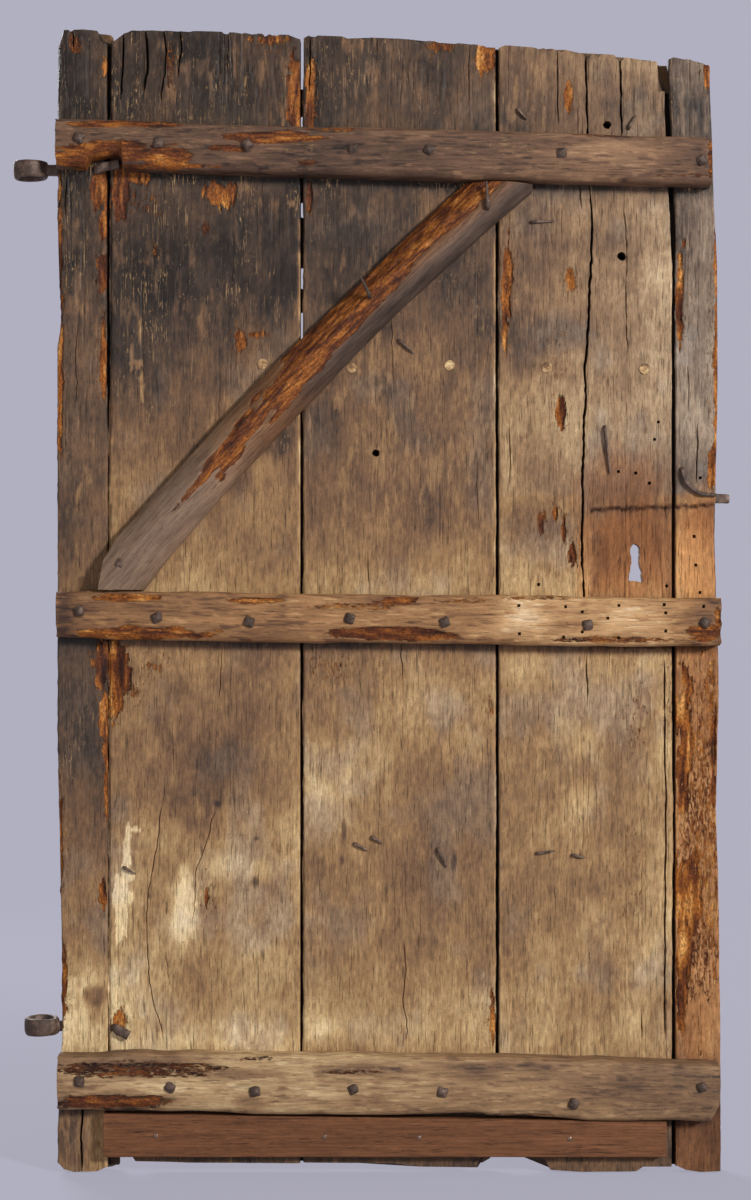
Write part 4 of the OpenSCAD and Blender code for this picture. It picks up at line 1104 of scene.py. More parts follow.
# How each level piece has weathered. tone: x, darkness at its upper and at its lower edge. raw and spots as
# for the uprights, at x and z. wave: height of the waney surface. crown: bulge of the front. tear: depth of
# the tears. raw_tone: darkness of the torn fibre. grey: share of bleached grey.
LEVELS = {
    "top_ledge": {
        "seed": 600,
        "slot": "ledge_wood",
        "colours": LEDGE,
        "tone": [
            (24, 0.40, 0.34), (120, 0.36, 0.30), (230, 0.33, 0.31), (400, 0.29, 0.30), (560, 0.31, 0.29),
            (700, 0.36, 0.36), (820, 0.42, 0.44), (930, 0.42, 0.44), (1003, 0.36, 0.34),
        ],
        "raw": [
            (95, 1304, 170, 40, 1), (185, 1300, 90, 34, 0.9), (350, 1328, 130, 18, 1),
            (277, 1312, 60, 12, 0.9), (190, 1286, 150, 9, 0.9), (120, 1348, 200, 12, 0.7),
            (430, 1340, 120, 8, 0.5), (1000, 1300, 9, 60, 0.8), (300, 1350, 120, 6, 0.6),
            (860, 1332, 160, 7, 0.5), (960, 1272, 90, 7, 0.5), (400, 1290, 30, 8, 0.6),
        ],
        "spots": [(850, 1305, 200, 40, 0.12), (560, 1330, 160, 20, 0.05), (480, 1345, 180, 12, 0.18)],
        "grey": 0.25,
        "wave": 1.8,
        "crown": 2.5,
        "tear": 1.6,
        "raw_tone": 0.38,
    },
    "middle_ledge": {
        "seed": 700,
        "slot": "ledge_wood",
        "colours": LEDGE,
        "tone": [
            (26, 0.36, 0.36), (100, 0.50, 0.48), (250, 0.52, 0.50), (420, 0.60, 0.54), (560, 0.60, 0.54),
            (670, 0.60, 0.58), (710, 0.74, 0.66), (800, 0.72, 0.66), (900, 0.74, 0.70), (950, 0.60, 0.60),
            (1017, 0.46, 0.46),
        ],
        "raw": [
            (138, 644, 90, 12, 0.9), (150, 591, 200, 20, 1), (524, 589, 190, 20, 1),
            (531, 641, 70, 14, 0.7), (320, 640, 90, 10, 0.7), (992, 592, 60, 26, 0.8),
            (860, 582, 260, 10, 0.6), (470, 632, 160, 14, 0.5), (640, 640, 120, 8, 0.5),
            (740, 644, 160, 8, 0.5), (1010, 615, 12, 40, 0.7),
        ],
        "spots": [
            (720, 612, 90, 50, 0.14), (880, 615, 120, 36, 0.1), (800, 600, 90, 24, -0.08),
            (250, 612, 160, 14, 0.1), (985, 625, 60, 40, -0.1), (40, 615, 26, 70, -0.16),
            (600, 605, 120, 40, -0.05), (510, 640, 90, 18, -0.2),
        ],
        "grey": 0.05,
        "wave": 2.4,
        "crown": 2.5,
        "tear": 2.4,
        "raw_tone": 0.5,
    },
    "bottom_ledge": {
        "seed": 800,
        "slot": "ledge_wood",
        "colours": OAK,
        "tone": [
            (28, 0.62, 0.58), (110, 0.68, 0.72), (220, 0.72, 0.72), (400, 0.76, 0.66), (560, 0.68, 0.62),
            (700, 0.58, 0.60), (850, 0.50, 0.56), (950, 0.46, 0.48), (1015, 0.46, 0.42),
        ],
        "raw": [
            (110, -104, 200, 24, 0.75), (150, -56, 300, 26, 0.58), (690, -124, 260, 8, 0.5),
            (330, -40, 60, 8, 0.5), (215, -50, 90, 8, 0.6), (470, -60, 130, 8, 0.5),
        ],
        "spots": [
            (130, -46, 270, 36, -0.24), (300, -62, 160, 16, -0.26), (480, -56, 170, 20, -0.28),
            (100, -106, 200, 34, -0.44), (70, -82, 50, 10, -0.2), (640, -62, 120, 24, -0.12),
            # The spot at (450, -32) is a painted highlight: a pale line along the top edge, where the light
            # falls on the ledge.
            (450, -32, 500, 8, 0.16), (860, -88, 160, 40, -0.1), (320, -104, 60, 30, -0.14),
            (170, -82, 110, 20, 0.16), (410, -85, 90, 24, 0.1), (700, -52, 200, 14, -0.16),
        ],
        "grey": 0.08,
        "wave": 2.6,
        "crown": 2.5,
        "tear": 4.0,
        "raw_tone": 0.22,
    },
    "foot_board": {
        "seed": 900,
        "slot": "foot_board_wood",
        "colours": PLANED,
        "tone": [
            (95, 0.44, 0.34), (300, 0.36, 0.38), (560, 0.44, 0.42), (760, 0.50, 0.42), (937, 0.48, 0.40),
        ],
        "raw": [],
        "spots": [
            (240, -140, 160, 30, 0.1), (600, -150, 160, 20, -0.14), (780, -165, 120, 20, 0.12),
            (420, -170, 120, 20, -0.1),
        ],
        "grey": 0.0,
        "wave": 0.3,
        "crown": 0.0,
        "tear": 0.0,
        "raw_tone": 0.5,
    },
}


def level_rings(node, spec, rounding):
    """Rings of a level piece, one for each x, from the hinge side to the lock side.

    The upper and lower edges are read from the solid at each x. A ring runs down the front, under the
    foot, up the back and over the top. The front corners are quarter circles, the lower one wider, the
    front bulges by its crown and waves with slow hollows, grain and tears.
    """
    low, high = corners(node)
    seed, thick = spec["seed"], FACE_Y - low[1]
    reach = solid(node)
    x = np.linspace(low[0] + 0.4, high[0] - 0.4, int((high[0] - low[0]) / (size("row_step") * 0.62)))
    probe_y = FACE_Y - 0.3 * thick
    top = filled(reach([(a, probe_y, high[2] + LEAD) for a in x], (0, 0, -1)))
    foot = filled(reach([(a, probe_y, low[2] - LEAD) for a in x], (0, 0, 1)))
    top = top + 0.5 * spec["wave"] * noise(x / 38, x * 0, seed + 1) - 0.4 * spec["wave"]
    foot = foot + 0.5 * spec["wave"] * noise(x / 38, x * 0, seed + 2) + 0.4 * spec["wave"]
    quarter = np.linspace(0.0, math.pi / 2, 8)
    above, below = 0.8 * rounding, 1.3 * rounding
    front = thick - spec["crown"]
    plan = [(1.0, 0.0, thick * d) for d in (0.0, 0.12, 0.35, 0.55)]
    plan += [(1.0, -above * (1 - math.sin(a)), front - above * (1 - math.cos(a))) for a in quarter[::-1]]
    flat = np.linspace(1.0, 0.0, 26)[1:-1]
    bulge = front + 4 * spec["crown"] * flat * (1 - flat)
    plan += [(share, below - share * (above + below), out) for share, out in zip(flat, bulge)]
    plan += [(0.0, below * (1 - math.sin(a)), front - below * (1 - math.cos(a))) for a in quarter]
    plan += [(0.0, 0.0, thick * d) for d in (0.5, 0.3, 0.12, 0.0)]
    plan += [(share, 0.0, 0.0) for share in (0.2, 0.4, 0.6, 0.8)]
    share, offset, out = np.array(plan).T
    z = foot[:, None] + share[None, :] * (top - foot)[:, None] + offset[None, :]
    grid_x = np.broadcast_to(x[:, None], z.shape)
    exposed = ease(0.3, 0.9, out / thick)[None, :]
    around = z - out[None, :]
    torn = ease(0.4, 0.6, ovals(grid_x, z, spec["raw"], 0.5 * fibres(z, grid_x, 6.0, 34.0, seed + 6)))
    into = (
        spec["wave"] * fibres(around, grid_x, 30.0, 90.0, seed + 3, 2)
        + size("grain") * fibres(around, grid_x, 3.6, 60.0, seed + 4)
        + torn * (spec["tear"] + 1.6 * fibres(around, grid_x, 5.0, 30.0, seed + 5))
    )
    y = FACE_Y - out[None, :] + exposed * np.maximum(into, -1.2)
    ends = np.zeros(len(x))
    ends[:3], ends[-3:] = (1.0, 0.6, 0.2), (-0.2, -0.6, -1.0)
    ragged = 0.4 + 2.2 * np.abs(noise(z / 9, out[None, :] / 9, seed + 7))
    return np.stack([grid_x + ends[:, None] * ragged, y, z], -1)


def level_paint(points, spec, node):
    """Patina, polish, bare wood and torn share of a level piece, by the uprights' layers laid along x."""
    x, y, z = points.T
    seed = spec["seed"]
    low, high = corners(node)
    table = np.array(spec["tone"], float)
    ends = [points[near][:, 2].mean() for near in (x < low[0] + 60, x > high[0] - 60)]
    half = 0.36 * (high[2] - low[2])
    upper = ease(-half, half, z - np.interp(x, (low[0], high[0]), ends))
    upper_tone, lower_tone = [np.interp(x, table[:, 0], table[:, c]) for c in (1, 2)]
    tone = lower_tone * (1 - upper) + upper_tone * upper
    around = z + 0.8 * y
    tone = tone + 0.10 * fibres(around, x, 24.0, 80.0, seed + 20, 4)
    tone = tone + 0.08 * fibres(around, x, 6.0, 70.0, seed + 21)
    tone = tone + 0.05 * fibres(around, x, 2.6, 20.0, seed + 22, 2)
    tone = tone + stains(x, z, spec["spots"], 0.4 * fibres(z, x, 10.0, 40.0, seed + 23))
    tone = tone - 0.18 * ease(0.3, 0.55, fibres(around, x, 3.0, 28.0, seed + 24, 2))
    tone = tone + 0.12 * ease(0.3, 0.55, fibres(around, x, 3.2, 24.0, seed + 25, 2))
    # Painted shade: darker within 2 mm of the boards, in the corner where the piece meets them.
    tone = np.clip(tone - 0.2 * ease(-2.0, 0.0, y - FACE_Y), 0.02, 1.0)
    colour = greyed(shade(stops(*spec["colours"]), tone), LEVEL_GREY_TINT, spec["grey"])
    torn = ovals(x, z, spec["raw"], 0.5 * fibres(z, x, 6.0, 34.0, seed + 6))
    raw_tone = spec["raw_tone"] + 0.5 * fibres(around, x, 3.4, 26.0, seed + 26)
    raw_tone = raw_tone + 0.35 * fibres(z, x, 20.0, 60.0, seed + 27, 2)
    polish = np.clip(1.1 - 1.5 * tone, 0.3, 0.9)
    return colour, polish, shade(stops(*RAW), np.clip(raw_tone, 0, 1)), torn


def build_level(node, material, rounding):
    """Builds one ledge or the foot board, cuts its holes and paints it."""
    spec = LEVELS[node]
    made = mesh_object(f"{node}_wood", *tube(level_rings(node, spec, rounding)))
    cutter = hole_cutter(node, corners(node)[0][1])
    if cutter:
        cut(made, cutter)
    paint_wood(made, *level_paint(vertices(made), spec, node))
    return settle(made, node, material)


# Brace

# Foot, head and bow of the brace's axis, its width and thickness, its side trims and the lean of the one at
# its foot, and a point and the lean of the worn corner there. The two lines are the ledges that it is cut
# to: height at the hinge edge and fall along x. play: its gap to them. grain: length that its tears follow.
BRACE = {
    "foot": (102.0, 656.0),
    "head": (693.0, 1264.0),
    "bow": 17.0,
    "width": 76.0,
    "thick": 42.0,
    "trim": (90.0, 736.0),
    "lean": 0.14,
    "corner": (96.0, 700.0),
    "corner_lean": 0.58,
    "lower_line": (657.0, 0.0120),
    "upper_line": (1281.0, 0.0271),
    "play": 0.3,
    "grain": 850.0,
    "seed": 1000,
}
# Share of its length, half width as a share of the width
BRACE_EDGE = [
    (-0.1, 0.6), (0.04, 0.56), (0.13, 0.51), (0.3, 0.5), (0.5, 0.5), (0.7, 0.47), (0.85, 0.49), (1.1, 0.5),
]
# Place across from the lower right edge at -1 to the upper left one at 1, height as a share of the thickness
BRACE_RIDGE = [
    (-1.0, 0.3), (-0.92, 0.46), (-0.7, 0.72), (-0.4, 0.93), (-0.1, 1.0),
    (0.2, 0.97), (0.5, 0.82), (0.8, 0.58), (1.0, 0.36),
]
# Tint of the bleached grey of the brace
BRACE_GREY_TINT = (1.14, 0.98, 0.84)
# Darkness of the brace's patina along it, and the band across it that is torn, as shares of its length
BRACE_TONE = [(0.0, 0.50), (0.1, 0.53), (0.2, 0.51), (0.32, 0.50), (0.5, 0.40), (0.8, 0.36), (1.0, 0.38)]
BRACE_TORN_FROM = [(0.12, 0.3), (0.28, -0.4), (0.5, -0.35), (0.7, -0.25), (0.9, 0.0), (1.0, 0.15)]
BRACE_TORN_TO = [(0.2, 0.2), (0.3, 0.4), (0.46, 0.5), (0.56, 1.3), (1.0, 1.3)]


def brace_frame():
    """Foot, run along the chord, unit side and length of the brace, in x and z."""
    foot, head = np.array(BRACE["foot"]), np.array(BRACE["head"])
    run = head - foot
    length = np.hypot(*run)
    return foot, run, np.array([-run[1], run[0]]) / length, length


def along_table(table, s):
    """A value read from rows of share of the length and value."""
    return np.interp(s, *np.array(table).T)


def brace_point(share, off):
    """Point in x and z at a share of the chord and a distance off the bowed axis: chord + 4 b s (1 - s)."""
    foot, run, side, _ = brace_frame()
    rise = 4 * BRACE["bow"] * share * (1 - share) + off
    return foot + share[..., None] * run + rise[..., None] * side


def brace_inside(place):
    """Where points in x and z lie between the two ledges and the side trims, off the worn corner."""
    x, z = place[..., 0], place[..., 1]
    lower, upper = [start - fall * x for start, fall in (BRACE["lower_line"], BRACE["upper_line"])]
    hinge_trim = BRACE["trim"][0] + BRACE["lean"] * (z - BRACE["foot"][1])
    worn_corner = BRACE["corner"][0] + BRACE["corner_lean"] * (z - BRACE["corner"][1])
    between = (z > lower + BRACE["play"]) & (z < upper - BRACE["play"])
    return between & (x > np.maximum(hinge_trim, worn_corner)) & (x < BRACE["trim"][1])


def brace_rings():
    """Rings of the brace, from its foot on the middle ledge to its head under the top ledge.

    Each line along the pole runs between the places where it meets the ledges or the side trims, so the
    ends are cut to fit. The section is a blunt ridge over a flat back, torn into fibre along a band.
    """
    seed = BRACE["seed"]
    length = brace_frame()[3]
    over, back = np.linspace(-1.0, 1.0, 52), np.linspace(0.9, -0.9, 10)
    side_up, side_down = np.linspace(0.0, 0.9, 4), np.linspace(0.9, 0.0, 4)
    share = np.concatenate([np.full(4, -1.0), over, np.full(4, 1.0), back])
    ridge = along_table(BRACE_RIDGE, over)
    height = np.concatenate([side_up * ridge[0], ridge, side_down * ridge[-1], np.zeros(len(back))])
    fine = np.linspace(-0.1, 1.1, 1400)
    off = share * along_table(BRACE_EDGE, fine)[:, None] * BRACE["width"]
    inside = brace_inside(brace_point(fine[:, None], off))
    start = fine[np.argmax(inside, axis=0)]
    end = fine[len(fine) - 1 - np.argmax(inside[::-1], axis=0)]
    s = start + np.linspace(0.0, 1.0, 320)[:, None] * (end - start)
    lane = share * along_table(BRACE_EDGE, s) * BRACE["width"]
    spot = brace_point(s, lane * (1 + 0.02 * noise(s * 14, s * 0, seed + 1)))
    torn, run = brace_torn(s, share[None, :]), s * length
    splinters = 2.4 * fibres(lane, run, 5.5, 34.0, seed + 4) + 1.2 * fibres(lane, run, 2.6, 14.0, seed + 5, 2)
    rough = ease(0.1, 0.4, height) * (
        1.6 * fibres(lane, run, 26.0, 90.0, seed + 2, 2)
        + 0.4 * fibres(lane, run, 3.6, 50.0, seed + 3)
        + torn * (2.2 + splinters)
    )
    y = FACE_Y - height * BRACE["thick"] + np.clip(rough, -1.0, 8.0)
    return np.stack([spot[..., 0], np.minimum(y, FACE_Y), spot[..., 1]], -1)


def brace_torn(s, across):
    """Share of torn fibre on the brace: a ragged band that climbs from its middle to its upper left edge."""
    lane, run = across * BRACE["width"] / 2, s * BRACE["grain"]
    rag = 0.4 * fibres(lane, run, 9.0, 40.0, BRACE["seed"] + 8, 4)
    band = ease(-0.14, 0.14, across - along_table(BRACE_TORN_FROM, s) + rag)
    band = band * ease(-0.14, 0.14, along_table(BRACE_TORN_TO, s) - across + rag)
    return band * ease(0.16, 0.3, s + 0.15 * rag) * (1 - ease(0.98, 1.04, s))


def brace_paint(points):
    """Patina, polish, bare wood and torn share of the brace: grey-brown foot, dark face and torn band."""
    seed = BRACE["seed"]
    foot, run, side, length = brace_frame()
    from_foot = points[:, [0, 2]] - foot
    s = from_foot @ run / length**2
    along = s * length
    lane = from_foot @ side - 4 * BRACE["bow"] * s * (1 - s)
    across = lane / (along_table(BRACE_EDGE, s) * BRACE["width"])
    tone = along_table(BRACE_TONE, s) - 0.12 * ease(0.3, 0.8, -across) * ease(0.2, 0.4, s)
    tone = tone + 0.10 * fibres(lane, along, 22.0, 70.0, seed + 20, 4)
    tone = tone + 0.07 * fibres(lane, along, 5.0, 60.0, seed + 21)
    tone = tone + 0.05 * fibres(lane, along, 2.6, 16.0, seed + 22, 2)
    grey = 0.5 * (1 - ease(0.2, 0.5, s)) + 0.6 * ease(0.1, 0.6, -across) * ease(0.4, 0.6, s)
    colour = greyed(shade(stops(*LEDGE), np.clip(tone, 0.03, 1)), BRACE_GREY_TINT, grey)
    raw_tone = 0.42 + 0.42 * fibres(lane, along, 4.0, 26.0, seed + 4)
    raw_tone = raw_tone + 0.26 * fibres(lane, along, 2.4, 14.0, seed + 23, 2)
    polish = np.clip(1.0 - 0.8 * tone, 0.1, 0.9)
    return colour, polish, shade(stops(*RAW), np.clip(raw_tone, 0, 1)), brace_torn(s, across)


# Ironwork

IRON = ("iron_dark", "iron_brown", "iron_rub")
# Width and height of a forged head in front, of one at the rear and of a wire nail's, and how deep the last
# one sits. A forged head's points lie within HEAD_DEEP of its top.
FRONT_HEAD = (15.5, 6.0)
REAR_HEAD = (12.0, 4.0)
WIRE_HEAD = (7.0, 1.5)
WIRE_SEAT = 1.2
HEAD_DEEP = 7.0
# Width and thickness of a point that is clenched on the rear and of a nail that is bent over on the brace,
# which lies within BENT_DEEP of its top and spans BENT_SPAN or more, and thickness of a point on the face
REAR_POINT = (6.0, 3.0)
BENT_NAIL = (6.2, 6.0)
BENT_DEEP = 6.5
BENT_SPAN = 40.0
FACE_POINT_D = 4.6
# Outer radius and height of a hinge eye, height of its shank and width of its bent-over point
EYE_R = 26.5
EYE_H = 26.0
SHANK_H = 16.0
EYE_POINT_W = 14.0
# Depth and height of the latch bar, radius of a peg and of the foot board's edges
LATCH_BAR = (12.0, 14.6)
PEG_R = 8.6
FOOT_BOARD_ROUND = 1.6
# First noise seed of each kind of piece
SEEDS = {
    "hinge_eyes": 1100,
    "ledge_nails": 1200,
    "brace_nails": 1300,
    "foot_board_nails": 1400,
    "clenched_nails": 1500,
    "bent_spike": 1600,
    "latch_bar": 1700,
    "pegs": 1800,
}


def swept(path, wide, thick, up, seed, sides=14, power=3.4):
    """Rings of a hammered bar: the section |a|^p + |b|^p = 1, scaled and carried along a path.

    up is the direction that the thickness is measured in.
    """
    path = np.asarray(path, float)
    run = np.gradient(path, axis=0)
    run /= np.linalg.norm(run, axis=1, keepdims=True)
    across = np.cross(run, np.asarray(up, float))
    across /= np.linalg.norm(across, axis=1, keepdims=True)
    top = np.cross(across, run)
    turn = np.linspace(0.0, 2 * math.pi, sides, endpoint=False)
    a = np.sign(np.cos(turn)) * np.abs(np.cos(turn)) ** (2 / power)
    b = np.sign(np.sin(turn)) * np.abs(np.sin(turn)) ** (2 / power)
    dent = 1 + 0.07 * noise(np.arange(len(path))[:, None] * 0.45, turn[None, :] * 1.3, seed)
    wide, thick = np.broadcast_to(wide, len(path)), np.broadcast_to(thick, len(path))
    return (
        path[:, None]
        + (a * dent * wide[:, None] / 2)[..., None] * across[:, None]
        + (b * dent * thick[:, None] / 2)[..., None] * top[:, None]
    )


def smooth_path(points, count):
    """Points spread evenly along a curve that runs softly through given points: cubic Hermite pieces."""
    points = np.asarray(points, float)
    slope = np.gradient(points, axis=0)
    t = np.linspace(0.0, len(points) - 1.0001, count)
    k = t.astype(int)
    u = (t - k)[:, None]
    h = (2 * u**3 - 3 * u**2 + 1, u**3 - 2 * u**2 + u, -2 * u**3 + 3 * u**2, u**3 - u**2)
    return h[0] * points[k] + h[1] * slope[k] + h[2] * points[k + 1] + h[3] * slope[k + 1]


def rose_head(x, y, z, wide, high, turn, seed, facing=-1.0):
    """Rings of a forged head: a low four-faced point with a blunt top over a thin rim.

    The outline is a worn square. Its height falls with the larger of the two distances from its middle.
    """
    angle = np.linspace(0.0, 2 * math.pi, 28, endpoint=False)
    square = 1 / np.maximum(np.abs(np.cos(angle)), np.abs(np.sin(angle))) ** 0.75
    worn = 1 + 0.09 * noise(angle * 1.4, angle * 0 + seed, seed)
    rim = wide / 2 * square * worn
    steps = [(1.0, -0.6), (1.0, 0.12), (0.97, 0.24), (0.86, 0.42)]
    steps += [(0.66, 0.66), (0.44, 0.86), (0.26, 0.97), (0.1, 1.0)]
    rings = []
    for scale, lift in steps:
        r = rim * scale * (1 + 0.06 * noise(angle * 2, np.full_like(angle, lift * 6), seed + 3))
        out = high * lift * (1 + 0.12 * noise(angle * 1.2, np.full_like(angle, scale * 4), seed + 5))
        rings.append(
            np.stack([x + r * np.cos(angle + turn), y + facing * out, z + r * np.sin(angle + turn)], -1)
        )
    return np.array(rings)


def iron_paint(points, seed, lift=0.0):
    """Colour and polish of iron: dark scale, brown rust and rubbed spots, a few millimetres wide."""
    x, y, z = points.T
    tone = 0.5 + lift + 0.4 * fibres(x + y, z - y, 9.0, 9.0, seed)
    tone = tone + 0.2 * fibres(x - y, z, 2.5, 2.5, seed + 3, 2)
    return shade(stops(*IRON), np.clip(tone, 0, 1)), np.clip(tone * 0.7, 0, 1)


def build_iron(name, node, parts, material, seed, lift=0.0):
    """Joins closed forms into one iron piece and paints it."""
    made = mesh_object(name, *joined(parts))
    paint(made, *iron_paint(vertices(made), seed, lift))
    return settle(made, node, material, 50.0)


def farthest(points, x, z):
    """Middle of the two points that lie farthest from a nail's axis, in x and z."""
    away = np.hypot(points[:, 0] - x, points[:, 2] - z)
    return points[np.argsort(away)[-2:]][:, [0, 2]].mean(0)


def face_bar(x, z, tip, y, wide, thick, seed, root=0.0, facing=-1.0):
    """Rings of a bent-over point: out of the wood at x and z, then along the face to its tip, tapering."""
    way = np.array([tip[0] - x, 0.0, tip[1] - z])
    lift = facing * thick * 0.5
    bow = np.array([0.0, facing * thick * 0.25, 0.0])
    start = np.array([x, y + lift, z])
    in_wood = start - way * 0.04 - (0, facing * (thick + root), 0)
    path = smooth_path([in_wood, start + way * 0.02, start + way * 0.4 + bow, start + way * 0.98], 18)
    taper = np.interp(np.linspace(0, 1, 18), (0, 0.5, 0.9, 1), (1.0, 0.95, 0.65, 0.4))
    up = (0, 0, 1) if abs(way[0]) > abs(way[2]) else (1, 0, 0)
    return swept(path, wide * taper, thick * taper, up, seed)


def driven_nail(points, seed):
    """Forms of a nail driven through a ledge: its head in front and its clenched point on the rear."""
    front, rear = points[points[:, 1] < points[:, 1].min() + HEAD_DEEP], points[points[:, 1] > REAR_Y + 0.5]
    x, z = (front.min(0) + front.max(0))[[0, 2]] / 2
    turn = 0.5 * math.sin(seed * 1.7)
    parts = [tube(rose_head(x, front[:, 1].min() + FRONT_HEAD[1], z, *FRONT_HEAD, turn, seed))]
    if len(rear):
        parts.append(tube(face_bar(x, z, farthest(rear, x, z), REAR_Y, *REAR_POINT, seed, 2.0, 1.0)))
    return parts


def eye_parts(node, seed):
    """Forms of a hinge eye: a round ring about its leaning bore, and the shank to its bent-over point.

    The ring's section is |a|^p + |b|^p = 1 carried round the bore, thinner where it was rubbed.
    """
    mount = next(m for m in frame["record"]["mounts"] if m["name"] == node)
    bore = np.array(mount["pos_m"]) / MM
    axis = -np.array(mount["axis"])
    inner = mount["dims"]["r_mm"]
    turn = np.linspace(0.0, 2 * math.pi, 72, endpoint=False)[:, None]
    around = np.linspace(0.0, 2 * math.pi, 28, endpoint=False)[None, :]
    power = 2.7
    a = np.sign(np.cos(around)) * np.abs(np.cos(around)) ** (2 / power)
    b = np.sign(np.sin(around)) * np.abs(np.sin(around)) ** (2 / power)
    worn = 0.5 * noise(turn * 1.9, around * 1.1, seed)
    radius = (inner + EYE_R) / 2 + (EYE_R - inner) / 2 * a + np.where(a > 0, worn, 0.0)
    lift = EYE_H / 2 * b * (1 + 0.05 * np.cos(turn - 2.6)) + worn
    side, inward = np.array([axis[2], 0.0, -axis[0]]), np.array([0.0, 1.0, 0.0])
    outward = np.cos(turn)[..., None] * side + np.sin(turn)[..., None] * inward
    ring = bore + radius[..., None] * outward + lift[..., None] * axis
    whole = separate_solids(node)[0]
    face = whole[(whole[:, 1] < FACE_Y - 1.0) & (whole[:, 0] > corners("hanging_stile")[0][0] + 20.0)]
    start = face[:, 0].min() + 6.0
    tip = farthest(face, start, bore[2])
    way = [bore + (20.0, 0, 0), bore + (34.0, 0, 0), (start - 14.0, 0, bore[2]), (start - 2.0, -3.0, bore[2])]
    wide = np.interp(np.linspace(0, 1, 20), (0, 0.3, 1), (30.0, 13.0, 11.0))
    shank = swept(smooth_path(way, 20), wide, SHANK_H, (0, 0, 1), seed + 1)
    knee = [
        (start - 1.0, 2.0, bore[2] - 2.0),
        (start + 1.0, -12.0, bore[2] - 2.0),
        (start + 5.0, FACE_Y - 4.6, bore[2] - 1.5),
        ((start + tip[0]) / 2, FACE_Y - 5.2, (bore[2] + tip[1]) / 2),
        (tip[0] - 1.0, FACE_Y - 5.6, tip[1]),
    ]
    thick = np.interp(np.linspace(0, 1, 24), (0, 0.6, 1), (10.0, 9.0, 8.0))
    point = swept(smooth_path(knee, 24), EYE_POINT_W, thick, (0.3, -1, 0), seed + 2)
    return [(ring.reshape(-1, 3), torus_faces(72, 28)), tube(shank), tube(point)]


# Operators

class PLANK_DOOR_OT_uprights(bpy.types.Operator):
    """Build the three boards and the two stiles"""

    bl_idname = "plank_door.uprights"
    bl_label = "Uprights"

    def execute(self, context):
        oak = weathered_oak()
        for node in UPRIGHTS:
            build_upright(node, oak)
        return {"FINISHED"}


class PLANK_DOOR_OT_ledges(bpy.types.Operator):
    """Build the three hewn ledges"""

    bl_idname = "plank_door.ledges"
    bl_label = "Ledges"

    def execute(self, context):
        oak = ledge_oak()
        for node in ("top_ledge", "middle_ledge", "bottom_ledge"):
            build_level(node, oak, size("ledge_round"))
        return {"FINISHED"}


class PLANK_DOOR_OT_foot_board(bpy.types.Operator):
    """Build the planed foot board"""

    bl_idname = "plank_door.foot_board"
    bl_label = "Foot board"

    def execute(self, context):
        build_level("foot_board", planed_softwood(), FOOT_BOARD_ROUND)
        return {"FINISHED"}


class PLANK_DOOR_OT_brace(bpy.types.Operator):
    """Build the split-pole brace"""

    bl_idname = "plank_door.brace"
    bl_label = "Brace"

    def execute(self, context):
        run = brace_frame()[1]
        made = mesh_object("brace_wood", *tube(brace_rings()))
        paint_wood(made, *brace_paint(vertices(made)))
        settle(made, "brace", split_oak(-math.atan2(run[1], run[0])))
        return {"FINISHED"}


class PLANK_DOOR_OT_hinge_eyes(bpy.types.Operator):
    """Build the two forged hinge eyes"""

    bl_idname = "plank_door.hinge_eyes"
    bl_label = "Hinge eyes"

    def execute(self, context):
        iron = forged_iron()
        for seed, node in enumerate(("upper_hinge_eye", "lower_hinge_eye"), SEEDS["hinge_eyes"]):
            build_iron(f"{node}_iron", node, eye_parts(node, seed), iron, seed, lift=0.06)
        return {"FINISHED"}


class PLANK_DOOR_OT_ledge_nails(bpy.types.Operator):
    """Build the rows of forged nails in the ledges"""

    bl_idname = "plank_door.ledge_nails"
    bl_label = "Ledge nails"

    def execute(self, context):
        iron = forged_iron()
        for row, node in enumerate(("top_ledge_nails", "middle_ledge_nails", "bottom_ledge_nails")):
            seed = SEEDS["ledge_nails"] + 20 * row
            parts = []
            for k, points in enumerate(separate_solids(node)):
                parts += driven_nail(points, seed + k)
            build_iron(f"{node}_iron", node, parts, iron, seed)
        return {"FINISHED"}


class PLANK_DOOR_OT_brace_nails(bpy.types.Operator):
    """Build the rose-headed nail and the two bent nails of the brace"""

    bl_idname = "plank_door.brace_nails"
    bl_label = "Brace nails"

    def execute(self, context):
        parts = []
        first = SEEDS["brace_nails"]
        for seed, points in enumerate(separate_solids("brace_nails"), first):
            front = points[points[:, 1] < points[:, 1].min() + BENT_DEEP]
            deep = points[points[:, 1] > 0.0]
            x, z = (deep.min(0) + deep.max(0))[[0, 2]] / 2
            if np.ptp(front[:, 0]) + np.ptp(front[:, 2]) < BENT_SPAN:
                parts += driven_nail(points, seed)
            else:
                tip = farthest(front, x, z)
                parts.append(tube(face_bar(x, z, tip, front[:, 1].max() + 1.0, *BENT_NAIL, seed, 12.0)))
        build_iron("brace_nails_iron", "brace_nails", parts, forged_iron(), first, lift=-0.05)
        return {"FINISHED"}


class PLANK_DOOR_OT_foot_board_nails(bpy.types.Operator):
    """Build the round-headed wire nails of the foot board"""

    bl_idname = "plank_door.foot_board_nails"
    bl_label = "Foot board nails"

    def execute(self, context):
        parts = []
        for seed, points in enumerate(separate_solids("foot_board_nails"), SEEDS["foot_board_nails"]):
            x, z = (points.min(0) + points.max(0))[[0, 2]] / 2
            parts.append(tube(rose_head(x, points[:, 1].min() + WIRE_SEAT, z, *WIRE_HEAD, 0.0, seed)))
        made = mesh_object("foot_board_nails_steel", *joined(parts))
        colour = np.tile(stops("iron_rub")[0] * 0.9, (len(made.data.vertices), 1))
        paint(made, colour, np.full(len(colour), 0.6))
        settle(made, "foot_board_nails", drawn_steel())
        return {"FINISHED"}


